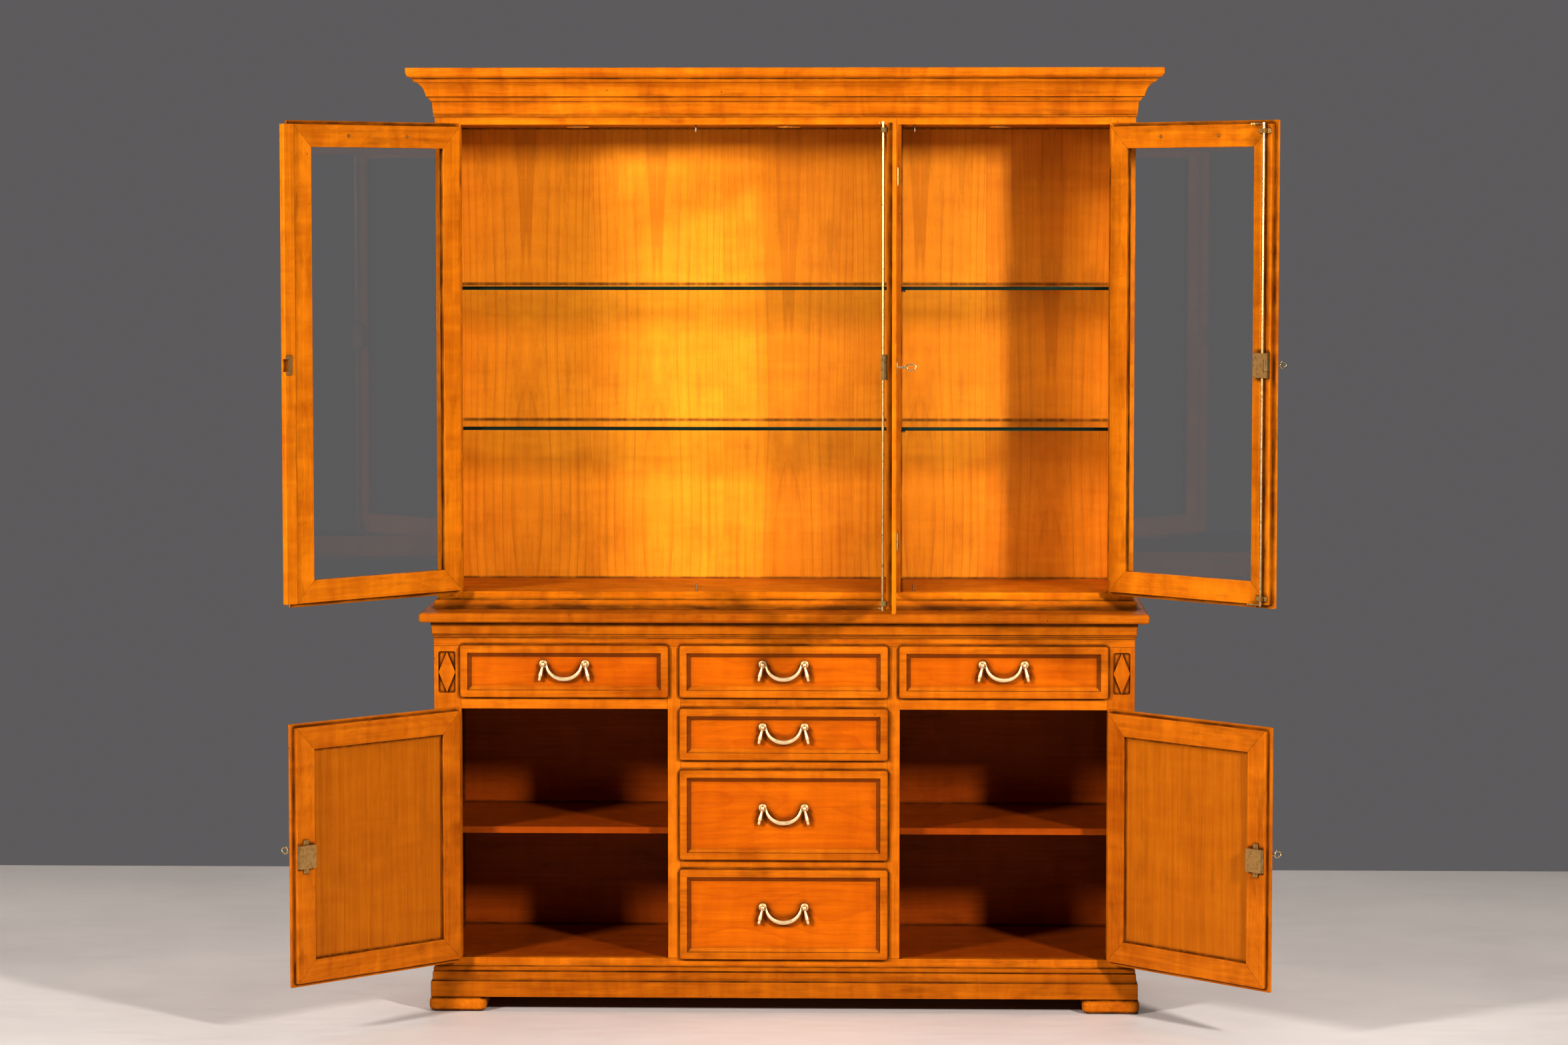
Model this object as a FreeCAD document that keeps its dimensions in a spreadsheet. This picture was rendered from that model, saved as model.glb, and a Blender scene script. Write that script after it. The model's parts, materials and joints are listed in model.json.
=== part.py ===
import FreeCAD, Part
import math
import os
import re
import Sketcher
from FreeCAD import Placement, Rotation, Vector

# A two-part china cabinet: a base with two doors and six drawers, and an upper cabinet with three glass doors.
# X runs to the right, Y to the back and Z up. The origin is on the floor, on the cabinet's middle plane, halfway
# between the back and the free edge of the open middle door. The doors stand open at rest.

# ---------------------------------------------------------------------------------------------------------------
# Driving dimensions, in millimetres and degrees
# ---------------------------------------------------------------------------------------------------------------

DIMENSIONS = {
    # carcass
    "base_width": 1600, "base_front": -20, "back_face": 448, "frame_thick": 20, "panel_thick": 18,
    "back_thick": 8, "foot_height": 34, "foot_side": 131, "base_top": 899, "joint_gap": 0.5,
    "board_thick": 22, "board_overhang": 32,
    # openings of the base face frame
    "bay_outer": 738, "bay_inner": 265, "column_half": 236.5, "bay_floor": 124.5, "bay_top": 699.5,
    "row_floor": 727.5, "row_top": 844, "low_top": 329, "mid_floor": 354, "mid_top": 558, "high_floor": 584,
    "shelf_top": 418.8, "shelf_thick": 15, "shelf_front": 39,
    # diamond recess in the corner posts
    "recess_wide": 39, "recess_high": 95, "recess_deep": 5, "recess_middle": 783,
    # upper cabinet
    "hutch_width": 1602, "hutch_front": 70, "hutch_floor": 960.5, "hutch_ceiling": 2032, "hutch_top": 2100,
    "hutch_bay": 741.5, "partition_x": 257.5, "meeting_x": -245.5, "cornice_foot": 2050, "dust_thick": 8,
    "glass_thick": 8, "glass_front": 95, "glass_low": 1331.4, "glass_high": 1654.2,
    "light_first": -487, "light_pitch": 492, "light_y": 250,
    # doors
    "door_thick": 22, "lip_thick": 10, "lip_step": 8.5, "member_wide": 58.5, "pane_thick": 4, "lap": 6,
    "upper_lap": 3, "free_lap": 8, "axis_out": 2.5, "axis_front": 1, "strip_reach": 22,
    "strip_thick": 14, "rebate": 24,
    "open_left": 133, "open_middle": 90, "open_right": 135.5, "open_lower": 134,
    # espagnolette locks of the glass doors
    "rod_inset": 24, "rod_inset_middle": 27, "key_inset_middle": 31, "rod_radius": 3, "rod_off": 8,
    "hook_reach": 28, "lock_middle": 1495.5, "key_inset": 15,
    # rim locks of the lower doors
    "rim_floor": 384, "rim_high": 52, "rim_wide": 45.5, "rim_thick": 10, "low_key": 420,
    # drawers and pulls
    "front_lap": 1.5, "front_thick": 12, "front_plug": 8, "box_side": 12, "box_depth": 390, "box_gap": 12.5,
    "pull_half": 48, "pull_drop": 34,
}
D = type("Dimensions", (), DIMENSIONS)
# heights of the hinges of the glass doors and of the lower doors
UPPER_LEVELS = (D.hutch_floor + 117.5, D.hutch_ceiling - 118.5)
LOWER_LEVELS = (D.bay_floor + 91, D.bay_top - 87)
# wall faces that carry shelf pins, with the way from each into its bay
WALLS = {
    "hutch_outer_left": ("-hutch_width / 2 + panel_thick", 1),
    "hutch_outer_right": ("hutch_width / 2 - panel_thick", -1),
    "hutch_inner_left": ("partition_x - panel_thick / 2", -1),
    "hutch_inner_right": ("partition_x + panel_thick / 2", 1),
    "base_outer_left": ("-base_width / 2 + panel_thick", 1),
    "base_outer_right": ("base_width / 2 - panel_thick", -1),
    "base_inner_left": ("-(bay_inner + column_half) / 2 - panel_thick / 2", -1),
    "base_inner_right": ("(bay_inner + column_half) / 2 + panel_thick / 2", 1),
}

doc = FreeCAD.newDocument("china_cabinet")
sheet = doc.addObject("Spreadsheet::Sheet", "Dims")
for row, (alias, number) in enumerate(DIMENSIONS.items(), start=1):
    sheet.set(f"A{row}", alias)
    sheet.set(f"B{row}", str(number))
    sheet.setAlias(f"B{row}", alias)
doc.recompute()

nodes = []


# ---------------------------------------------------------------------------------------------------------------
# Helpers
# ---------------------------------------------------------------------------------------------------------------

def bind(item, target, formula):
    """Bind one property to a formula over the sheet's aliases."""
    word = re.sub(r"[a-z][a-z_]*", lambda m: "Dims." + m[0] if m[0] in DIMENSIONS else m[0], str(formula))
    item.setExpression(target, word)


def station(item, at, turn=None, axis=(0, 0, 1)):
    """Place an object: three formulas for its position and one for its turn in degrees."""
    item.Placement = Placement(Vector(0, 0, 0), Rotation(Vector(*axis), 0 if turn is None else 1))
    for letter, formula in zip("xyz", at):
        bind(item, "Placement.Base." + letter, formula)
    if turn is not None:
        bind(item, "Placement.Rotation.Angle", turn)
    return item


def board(name, corner, size):
    """A plain board: a box from its low corner, with its size along X, Y and Z."""
    box = doc.addObject("Part::Box", name)
    for prop, formula in zip(("Length", "Width", "Height"), size):
        bind(box, prop, formula)
    return station(box, corner)


def rod(name, base, radius, length, direction=(0, 0, 1)):
    """A round bar from its base along one direction."""
    bar = doc.addObject("Part::Cylinder", name)
    bar.Radius = radius
    bind(bar, "Height", length)
    bar.Placement = Placement(Vector(0, 0, 0), Rotation(Vector(0, 0, 1), Vector(*direction)))
    for letter, formula in zip("xyz", base):
        bind(bar, "Placement.Base." + letter, formula)
    return bar


def group(name, pieces, at=(0, 0, 0), turn=None, axis=(0, 0, 1)):
    """Separate solids that stand together, placed as one."""
    compound = doc.addObject("Part::Compound", name)
    compound.Links = pieces
    return station(compound, at, turn, axis)


def node(label, pieces, at=(0, 0, 0), turn=None):
    """One sub-part of the cabinet, under the name of its file."""
    item = group(label, pieces, at, turn)
    item.Label = label
    nodes.append(item)
    return item


def fuse(name, pieces):
    joined = doc.addObject("Part::MultiFuse", name)
    joined.Shapes = pieces
    return joined


def cut(name, base, tools):
    tool = tools[0] if len(tools) == 1 else fuse(name + "_tools", tools)
    result = doc.addObject("Part::Cut", name)
    result.Base = base
    result.Tool = tool
    return result


def new_body(name):
    return doc.addObject("PartDesign::Body", name)


def new_sketch(body, role, name, offset=0.0):
    """A sketch on one of the body's own origin planes, moved along the plane's normal."""
    sketch = body.newObject("Sketcher::SketchObject", name)
    plane = next(f for f in body.Origin.OriginFeatures if f.Role == role)
    sketch.AttachmentSupport = [(plane, "")]
    sketch.MapMode = "FlatFace"
    sketch.AttachmentOffset = Placement(Vector(0, 0, offset), Rotation())
    return sketch


def rectangle(sketch, left, bottom, width, height):
    """A rectangle whose corner and sides follow the sheet."""
    corners = [Vector(0, 0), Vector(9, 0), Vector(9, 9), Vector(0, 9)]
    first = sketch.GeometryCount
    for a, b in zip(corners, corners[1:] + corners[:1]):
        sketch.addGeometry(Part.LineSegment(a, b))
    for i in range(4):
        sketch.addConstraint(Sketcher.Constraint("Coincident", first + i, 2, first + (i + 1) % 4, 1))
    sketch.addConstraint(Sketcher.Constraint("Horizontal", first))
    sketch.addConstraint(Sketcher.Constraint("Horizontal", first + 2))
    sketch.addConstraint(Sketcher.Constraint("Vertical", first + 1))
    sketch.addConstraint(Sketcher.Constraint("Vertical", first + 3))
    sizes = (
        (Sketcher.Constraint("DistanceX", -1, 1, first, 1, 0.0), left),
        (Sketcher.Constraint("DistanceY", -1, 1, first, 1, 0.0), bottom),
        (Sketcher.Constraint("DistanceX", first, 1, first, 2, 9.0), width),
        (Sketcher.Constraint("DistanceY", first + 1, 1, first + 1, 2, 9.0), height),
    )
    for constraint, formula in sizes:
        index = sketch.addConstraint(constraint)
        bind(sketch, f"Constraints[{index}]", formula)


def outline(sketch, corners):
    """A closed outline through corners (x, y) or (x, y, radius): a radius rounds that corner with an arc."""
    points = [Vector(c[0], c[1]) for c in corners]
    radii = [c[2] if len(c) > 2 else 0 for c in corners]
    count = len(points)
    entries, leaves, arcs = [], [], []
    for i, (point, radius) in enumerate(zip(points, radii)):
        back = (points[i - 1] - point).normalize()
        ahead = (points[(i + 1) % count] - point).normalize()
        if not radius:
            entries.append(point)
            leaves.append(point)
            arcs.append(None)
            continue
        half = back.getAngle(ahead) / 2
        reach = radius / math.tan(half)
        centre = point + (back + ahead).normalize() * (radius / math.sin(half))
        middle = centre + (point - centre).normalize() * radius
        entries.append(point + back * reach)
        leaves.append(point + ahead * reach)
        arcs.append(middle)
    for i in range(count):
        if arcs[i] is not None:
            sketch.addGeometry(Part.Arc(entries[i], arcs[i], leaves[i]))
        start, stop = leaves[i], entries[(i + 1) % count]
        if (stop - start).Length > 1e-6:
            sketch.addGeometry(Part.LineSegment(start, stop))


def pad(body, sketch, length, back=False):
    feature = body.newObject("PartDesign::Pad", sketch.Name + "_pad")
    feature.Profile = sketch
    bind(feature, "Length", length)
    feature.Reversed = back
    return feature


def pocket(body, sketch, length):
    feature = body.newObject("PartDesign::Pocket", sketch.Name + "_pocket")
    feature.Profile = sketch
    bind(feature, "Length", length)
    return feature


def fillet(body, base, radius, chosen):
    """Round the base feature's edges that the test picks by their bounding boxes."""
    doc.recompute()
    names = [f"Edge{i}" for i, e in enumerate(base.Shape.Edges, start=1) if chosen(e.BoundBox)]
    feature = body.newObject("PartDesign::Fillet", base.Name + "_fillet")
    feature.Base = (base, names)
    feature.Radius = radius
    return feature


def loft(body, sketches, kind="PartDesign::AdditiveLoft", ruled=False):
    feature = body.newObject(kind, sketches[0].Name + "_loft")
    feature.Profile = sketches[0]
    feature.Sections = sketches[1:]
    feature.Ruled = ruled
    return feature


# ---------------------------------------------------------------------------------------------------------------
# Mitred lengths: mouldings round three sides and frame members round four
# ---------------------------------------------------------------------------------------------------------------

def moulding(name, section, width, front, back):
    """Three mitred lengths of one section round the front and sides of a carcass.

    The section's corners are (outward, height, radius). width, front and back are formulas for the carcass."""
    reach = max(c[0] for c in section) + 2
    low = min(c[1] for c in section)
    high = max(c[1] for c in section)
    span = DIMENSIONS[width]
    depth = DIMENSIONS[back] - DIMENSIONS[front]
    gap = D.joint_gap / 2
    lengths = []
    for part, long, mitres in (("front", span, (True, True)), ("left", depth, (False, True)),
                               ("right", depth, (True, False))):
        body = new_body(f"{name}_{part}")
        start = -reach if mitres[0] else 0
        profile = new_sketch(body, "YZ_Plane", f"{name}_{part}_section", start)
        outline(profile, [(-c[0], *c[1:]) for c in section])
        total = long + reach * sum(mitres)
        body_length = pad(body, profile, f"{total}")
        body.Tip = body_length
        plan = new_sketch(body, "XY_Plane", f"{name}_{part}_mitre", high + 1)
        if mitres[0]:
            outline(plan, [(gap + 1, 1), (gap - reach, -reach), (-reach - 3, -reach), (-reach - 3, 1)])
        if mitres[1]:
            outline(plan, [(long - gap - 1, 1), (long + reach + 3, 1), (long + reach + 3, -reach),
                           (long + reach - gap, -reach)])
        pocket(body, plan, f"{high - low + 2}")
        lengths.append(body)
    half = f"{width} / 2"
    return [
        group(name + "_at_front", [lengths[0]], (f"-{half}", front, 0)),
        group(name + "_at_left", [lengths[1]], (f"-{half}", back, 0), -90),
        group(name + "_at_right", [lengths[2]], (half, front, 0), 90),
    ]


def door_section(groove_low, groove_high):
    """Corners (thickness, inward, radius) of a door member: lip outside, moulded edge, groove, plug inside."""
    wide, thick, lip, step = D.member_wide, D.door_thick, D.lip_thick, D.lip_step
    return [
        (lip, 0), (0, 0, 5), (0, wide - 16.5), (1.5, wide - 16.5), (6, wide - 4), (6, wide, 1.5),
        (groove_low, wide), (groove_low, wide - 7), (groove_high, wide - 7), (groove_high, wide),
        (thick, wide, 1), (thick, step, 1), (lip, step),
    ]


def door_members(name, width, height, groove_low, groove_high):
    """Four mitred members of a door, from its lower left outer corner, outer face at Y 0."""
    gap = D.joint_gap / 2
    wide = D.member_wide
    members = []
    for part, long, at, turn in (
        ("bottom_rail", width, (0, 0, 0), 0), ("top_rail", width, (width, 0, height), 180),
        ("left_stile", height, (0, 0, height), 90), ("right_stile", height, (width, 0, 0), -90),
    ):
        body = new_body(f"{name}_{part}")
        profile = new_sketch(body, "YZ_Plane", f"{name}_{part}_section")
        outline(profile, door_section(groove_low, groove_high))
        body.Tip = pad(body, profile, f"{long}")
        plan = new_sketch(body, "XZ_Plane", f"{name}_{part}_mitre", 1)
        far = wide + 2
        outline(plan, [(gap - 2, -2), (far + gap, far), (-4, far), (-4, -2)])
        outline(plan, [(long - gap + 2, -2), (long + 4, -2), (long + 4, far), (long - far - gap, far)])
        pocket(body, plan, "door_thick + 4")
        members.append(group(f"{name}_{part}_at", [body], at, turn, (0, 1, 0)))
    return members


# ---------------------------------------------------------------------------------------------------------------
# Base cabinet
# ---------------------------------------------------------------------------------------------------------------

def stud_holes(name, x, front, levels):
    """Holes that the studs of the carcass hinge halves sit in."""
    return [rod(f"{name}_stud_hole_{i}", (x, front, level - 10), 1.8, 9, (0, 1, 0)) for i, level in enumerate(levels)]


def corner_post(name):
    """A corner post of the face frame, from its lower left front corner: a recess leaves a diamond standing."""
    body = new_body(name)
    face = new_sketch(body, "XZ_Plane", name + "_face")
    rectangle(face, 0, 0, "base_width / 2 - bay_outer", "row_top - bay_floor - 2 * joint_gap")
    body.Tip = pad(body, face, "frame_thick", back=True)
    recess = new_sketch(body, "XZ_Plane", name + "_recess")
    across = D.base_width / 2 - D.bay_outer
    middle = across / 2 + 1.5 if name.endswith("right") else across / 2 - 1.5
    height = D.recess_middle - D.bay_floor - D.joint_gap
    half, tall = D.recess_wide / 2, D.recess_high / 2
    outline(recess, [(middle + i * half, height + k * tall, 5) for i, k in ((-1, -1), (1, -1), (1, 1), (-1, 1))])
    outline(recess, [(middle + i * (half - 0.5), height + k * (tall - 0.5))
                     for i, k in ((-1, 0), (0, -1), (1, 0), (0, 1))])
    pocket(body, recess, "recess_deep")
    return body


def make_base_frame():
    """Face frame of the base: posts, stiles and rails, each a piece of its own."""
    depth = "frame_thick"
    pieces = [
        board("top_rail", ("-base_width / 2", "base_front", "row_top"), ("base_width", depth, "base_top - row_top")),
        board("foot_rail", ("-base_width / 2", "base_front", "foot_height"),
              ("base_width", depth, "bay_floor - foot_height")),
    ]
    for side, x in (("left", "-base_width / 2"), ("right", "bay_outer")):
        post = group(f"post_{side}_at", [corner_post("post_" + side)], (x, "base_front", "bay_floor + joint_gap"))
        hinge_x = "-bay_outer - lap - axis_out" if side == "left" else "bay_outer + lap + axis_out"
        holes = stud_holes("post_" + side, hinge_x, "base_front", LOWER_LEVELS)
        pieces.append(cut(f"post_{side}_drilled", post, holes))
    for side, x, mortise in (("left", "-bay_inner", "-bay_inner - 1"), ("right", "column_half", "bay_inner - 10")):
        stile = board("stile_blank_" + side, (x, "base_front", "bay_floor + joint_gap"),
                      ("bay_inner - column_half", depth, "row_top - bay_floor - 2 * joint_gap"))
        slot = board("bolt_mortise_" + side, (mortise, "base_front + 13", "rim_floor + 14"), (11, 8, 24))
        pieces.append(cut("stile_" + side, stile, [slot]))
    side_width = "bay_outer - bay_inner - joint_gap"
    column_width = "2 * column_half - joint_gap"
    rails = (
        ("rail_left", "-bay_outer + joint_gap / 2", side_width, "bay_top", "row_floor"),
        ("rail_right", "bay_inner + joint_gap / 2", side_width, "bay_top", "row_floor"),
        ("rail_middle", "-column_half + joint_gap / 2", column_width, "bay_top", "row_floor"),
        ("rail_high", "-column_half + joint_gap / 2", column_width, "mid_top", "high_floor"),
        ("rail_low", "-column_half + joint_gap / 2", column_width, "low_top", "mid_floor"),
    )
    for name, x, width, low, high in rails:
        pieces.append(board(name, (x, "base_front", low), (width, depth, f"{high} - {low}")))
    node("base_face_frame", pieces)


def make_panels():
    """Side, back, floor and partition boards of both cabinets, with the drawer runners."""
    behind = "base_front + frame_thick"
    hutch_behind = "hutch_front + frame_thick"
    base_inner = "base_width / 2 - panel_thick"
    hutch_inner = "hutch_width / 2 - panel_thick"
    sides = []
    for side, base_x, hutch_x in (("left", "-base_width / 2", "-hutch_width / 2"), ("right", base_inner, hutch_inner)):
        low = board("base_side_blank_" + side, (base_x, behind, "foot_height"),
                    ("panel_thick", "back_face - base_front - frame_thick", "base_top - foot_height"))
        high = board("hutch_side_blank_" + side, (hutch_x, hutch_behind, "base_top + board_thick"),
                     ("panel_thick", "back_face - hutch_front - frame_thick", "hutch_top - base_top - board_thick"))
        sides.append(cut("base_side_" + side, low, pin_holes("base_outer_" + side)))
        sides.append(cut("hutch_side_" + side, high, pin_holes("hutch_outer_" + side)))
    node("side_panels", sides)
    back_y = "back_face - back_thick"
    node("back_panels", [
        board("base_back", (f"-({base_inner})", back_y, "foot_height"),
              (f"2 * ({base_inner})", "back_thick", "base_top - foot_height")),
        board("hutch_back", (f"-({hutch_inner})", back_y, "base_top + board_thick"),
              (f"2 * ({hutch_inner})", "back_thick", "hutch_top - base_top - board_thick")),
    ])
    hutch_floor = board("hutch_floor_blank", (f"-({hutch_inner})", hutch_behind, "hutch_floor - panel_thick"),
                        (f"2 * ({hutch_inner})", "back_face - back_thick - hutch_front - frame_thick",
                         "panel_thick"))
    node("floor_boards", [
        board("base_floor", (f"-({base_inner})", behind, "bay_floor - panel_thick"),
              (f"2 * ({base_inner})", "back_face - back_thick - base_front - frame_thick", "panel_thick")),
        cut("hutch_floor_board", hutch_floor, keepers("keeper_hole_low", "hutch_floor - 10", 10)),
    ])
    make_partitions(behind)


def make_partitions(behind):
    """Two base partitions, the partition of the upper cabinet, and the strips that the drawers run on."""
    wall = "(bay_inner + column_half) / 2"
    depth = "back_face - back_thick - base_front - frame_thick"
    pieces = []
    for side, x in (("left", f"-{wall} - panel_thick / 2"), ("right", f"{wall} - panel_thick / 2")):
        wall_board = board("base_partition_blank_" + side, (x, behind, "bay_floor"),
                           ("panel_thick", depth, "base_top - bay_floor"))
        pieces.append(cut("base_partition_" + side, wall_board, pin_holes("base_inner_" + side)))
    blank = board("hutch_partition_blank", ("partition_x - panel_thick / 2", "hutch_front", "hutch_floor"),
                  ("panel_thick", "back_face - back_thick - hutch_front", "hutch_ceiling - hutch_floor"))
    mortise = board("partition_mortise", ("partition_x", "hutch_front + door_thick - lip_thick - 1",
                                          "lock_middle - 14"), ("panel_thick", 11, 28))
    studs = stud_holes("partition", "partition_x", "hutch_front", UPPER_LEVELS)
    pieces.append(cut("hutch_partition", blank, [mortise, *studs, *pin_holes("hutch_inner_left"),
                                                 *pin_holes("hutch_inner_right")]))
    column = f"{wall} - panel_thick / 2"
    outside = "base_width / 2 - panel_thick"
    inner = f"{wall} + panel_thick / 2"
    box_edge = "bay_outer - box_gap - box_side"
    inner_edge = "bay_inner + box_gap + box_side"
    column_edge = "column_half - box_gap - box_side"
    strips = [("column_high", column_edge, column, "high_floor"), ("column_mid", column_edge, column, "mid_floor"),
              ("column_low", column_edge, column, "bay_floor"), ("column_row", column_edge, column, "row_floor"),
              ("outer_row", box_edge, outside, "row_floor"), ("inner_row", inner, inner_edge, "row_floor")]
    for name, near, far, level in strips:
        wide = f"{far} - ({near})"
        if level == "bay_floor":
            low, high = "bay_floor", "1.5"
        else:
            low, high = f"{level} - 10", "11.5"
        pieces.append(board(f"runner_{name}_right", (near, behind, low), (wide, f"{depth} - 20", high)))
        pieces.append(board(f"runner_{name}_left", (f"-({far})", behind, low), (wide, f"{depth} - 20", high)))
    node("partitions_and_runners", pieces)


def make_top_board():
    """The base's top: a board with its front and end edges rounded over."""
    body = new_body("top_board_body")
    plan = new_sketch(body, "XY_Plane", "top_board_plan")
    rectangle(plan, "-base_width / 2 - board_overhang", "base_front - board_overhang",
              "base_width + 2 * board_overhang", "back_face - base_front + board_overhang")
    slab = pad(body, plan, "board_thick")
    corners = fillet(body, slab, 6, lambda b: b.ZLength > 1 and b.YMax < D.base_front)
    fillet(body, corners, 7.5, lambda b: b.ZLength < 1 and b.YMin < D.back_face - 1)
    node("base_top_board", [body], (0, 0, "base_top"))


def make_base_trim():
    """Moulding under the top board, moulding at the foot of the upper cabinet, plinth and feet."""
    top = D.base_top
    under_top = [(0, top - 36), (2.5, top - 36, 1), (2.5, top - 33.2), (1.4, top - 32.6), (3.6, top - 31.8, 0.8),
                 (3.6, top - 29.4), (2.2, top - 28.6), (4.4, top - 27.6), (4.4, top - 17, 14), (7, top - 4),
                 (7, top), (0, top)]
    foot = D.base_top + D.board_thick
    hutch_foot = [(0, foot), (7, foot), (7, foot + 15, 5), (3.6, foot + 20.5), (0, foot + 20.5)]
    node("waist_mouldings", moulding("under_top", under_top, "base_width", "base_front", "back_face")
         + moulding("hutch_foot", hutch_foot, "hutch_width", "hutch_front", "back_face"))
    low = D.foot_height
    plinth = [(0, low), (10.5, low, 1), (10.5, low + 36, 1), (6.5, low + 36), (6.5, low + 57, 2), (4.2, low + 58.5),
              (2.4, low + 58.9), (2.4, low + 60), (4.6, low + 60.4, 1.2), (4.6, low + 67, 2.5), (2, low + 70),
              (0, low + 70)]
    node("base_plinth", moulding("plinth", plinth, "base_width", "base_front", "back_face"))
    body = new_body("foot_body")
    plan = new_sketch(body, "XY_Plane", "foot_plan")
    half = D.foot_side / 2
    outline(plan, [(i * half, k * half, 16) for i, k in ((-1, -1), (1, -1), (1, 1), (-1, 1))])
    bun = pad(body, plan, "foot_height")
    top_edge = fillet(body, bun, 13, lambda b: b.ZMin > D.foot_height - 0.1)
    fillet(body, top_edge, 13, lambda b: b.ZMax < 0.1)
    x = "base_width / 2 + 15 - foot_side / 2"
    front = "base_front - 14 + foot_side / 2"
    rear = "back_face - foot_side / 2"
    node("feet", [group(f"foot_{i}", [body], at) for i, at in enumerate(
        ((f"-({x})", front, 0), (x, front, 0), (f"-({x})", rear, 0), (x, rear, 0)))])


def make_base_shelves():
    wall = "(bay_inner + column_half) / 2 + panel_thick / 2 + 1"
    wide = f"base_width / 2 - panel_thick - 1 - ({wall})"
    deep = "back_face - back_thick - 2 - shelf_front"
    low = "shelf_top - shelf_thick"
    node("base_shelves", [
        board("base_shelf_left", ("-base_width / 2 + panel_thick + 1", "shelf_front", low),
              (wide, deep, "shelf_thick")),
        board("base_shelf_right", (wall, "shelf_front", low), (wide, deep, "shelf_thick")),
    ])


# ---------------------------------------------------------------------------------------------------------------
# Upper cabinet
# ---------------------------------------------------------------------------------------------------------------

def make_hutch_frame():
    """Face frame, ceiling with its light holes, and cornice of the upper cabinet."""
    foot = "base_top + board_thick"
    stile = ("hutch_width / 2 - hutch_bay", "frame_thick", "hutch_top - base_top - board_thick")
    inside = "2 * hutch_bay - joint_gap"
    left = "-hutch_bay + joint_gap / 2"
    stiles = []
    for side, x, hinge_x in (("left", "-hutch_width / 2", "-hutch_bay - lap - axis_out"),
                             ("right", "hutch_bay", "hutch_bay + lap + axis_out")):
        blank = board("hutch_stile_blank_" + side, (x, "hutch_front", foot), stile)
        stiles.append(cut("hutch_stile_" + side, blank,
                          stud_holes("hutch_stile_" + side, hinge_x, "hutch_front", UPPER_LEVELS)))
    node("hutch_face_frame", [
        *stiles,
        board("hutch_rail_top", (left, "hutch_front", "hutch_ceiling"),
              (inside, "frame_thick", "hutch_top - hutch_ceiling")),
        board("hutch_rail_foot", (left, "hutch_front", foot), (inside, "frame_thick", f"hutch_floor - ({foot})")),
    ])
    blank = board("ceiling_blank", ("-hutch_width / 2 + panel_thick", "hutch_front + frame_thick", "hutch_ceiling"),
                  ("hutch_width - 2 * panel_thick", "back_face - back_thick - hutch_front - frame_thick",
                   "panel_thick"))
    holes = [rod(f"light_hole_{i}", (f"light_first + {i} * light_pitch", "light_y", "hutch_ceiling - 1"), 25.5, 30)
             for i in range(3)]
    holes += keepers("keeper_hole_top", "hutch_ceiling", 10)
    node("hutch_ceiling_board", [cut("ceiling", blank, holes)])
    base = D.cornice_foot
    cornice = [(0, base), (1.5, base), (2.8, base + 1.2, 0.8), (2.8, base + 3.6), (1.6, base + 4.2),
               (4, base + 5, 0.8), (4, base + 6.6), (3.4, base + 7.2), (6.4, base + 34), (8.4, base + 35, 1),
               (13, base + 41, 2.5), (15.2, base + 43.6), (13.6, base + 45), (18, base + 45.6),
               (24, base + 66, 34), (38, base + 77),
               (42, base + 78, 1.5), (47, base + 84, 2), (45.5, base + 86), (49, base + 86.6), (61, base + 92, 12),
               (61, base + 110, 1.5), (0, base + 110)]
    dust = board("dust_panel", ("-hutch_width / 2", "hutch_front", "hutch_top"),
                 ("hutch_width", "back_face - hutch_front", "dust_thick"))
    node("cornice", moulding("cornice_run", cornice, "hutch_width", "hutch_front", "back_face") + [dust])


def make_glass_shelves():
    deep = "back_face - back_thick - 2 - glass_front"
    long_x = "-hutch_width / 2 + panel_thick + 1"
    short_x = "partition_x + panel_thick / 2 + 1"
    panes = []
    for level in ("glass_low", "glass_high"):
        panes.append(board(level + "_long", (long_x, "glass_front", level),
                           ("partition_x - panel_thick / 2 - 1 + hutch_width / 2 - panel_thick - 1", deep,
                            "glass_thick")))
        panes.append(board(level + "_short", (short_x, "glass_front", level),
                           (f"hutch_width / 2 - panel_thick - 1 - ({short_x})", deep, "glass_thick")))
    node("glass_shelves", panes)


def pin_row(name, wall, sign, start, length):
    """Pins or their holes for the shelves at one wall face: sign is the way from the wall into the bay."""
    if name.startswith("hutch"):
        levels, front = ("glass_low", "glass_high"), "glass_front + 20"
    else:
        levels, front = ("shelf_top - shelf_thick",), "shelf_front + 40"
    return [rod(f"{name}_{i}_{k}", (f"{wall} + ({sign * start})", y, f"{level} - 2.5"), 2.5, length, (sign, 0, 0))
            for i, level in enumerate(levels) for k, y in enumerate((front, "back_face - 60"))]


def pin_holes(wall):
    """The blind holes for the shelf pins of one wall of WALLS."""
    face, sign = WALLS[wall]
    return pin_row(wall + "_hole", face, sign, -6, 6)


def keepers(name, start, length):
    """The rods' keeper pins at the ceiling and the floor, or their holes."""
    y = "hutch_front - lip_thick + door_thick + rod_off + 20.6"
    return [rod(f"{name}_{side}", (x, y, start), 2, length)
            for side, x in (("middle", "meeting_x + 1 + rod_inset_middle + 12.4"),
                            ("right", "partition_x + axis_out + rod_inset + 12.4"))]


def make_pins():
    """Shelf pins set into the side walls, and the keeper pins that the door rods hook behind."""
    pins = []
    for wall, (face, sign) in WALLS.items():
        pins += pin_row(wall + "_pin", face, sign, -6, 16)
    pins += keepers("keeper_top", "hutch_ceiling - 16", 26) + keepers("keeper_low", "hutch_floor - 10", 26)
    node("shelf_pins_and_rod_keepers", pins)


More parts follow.
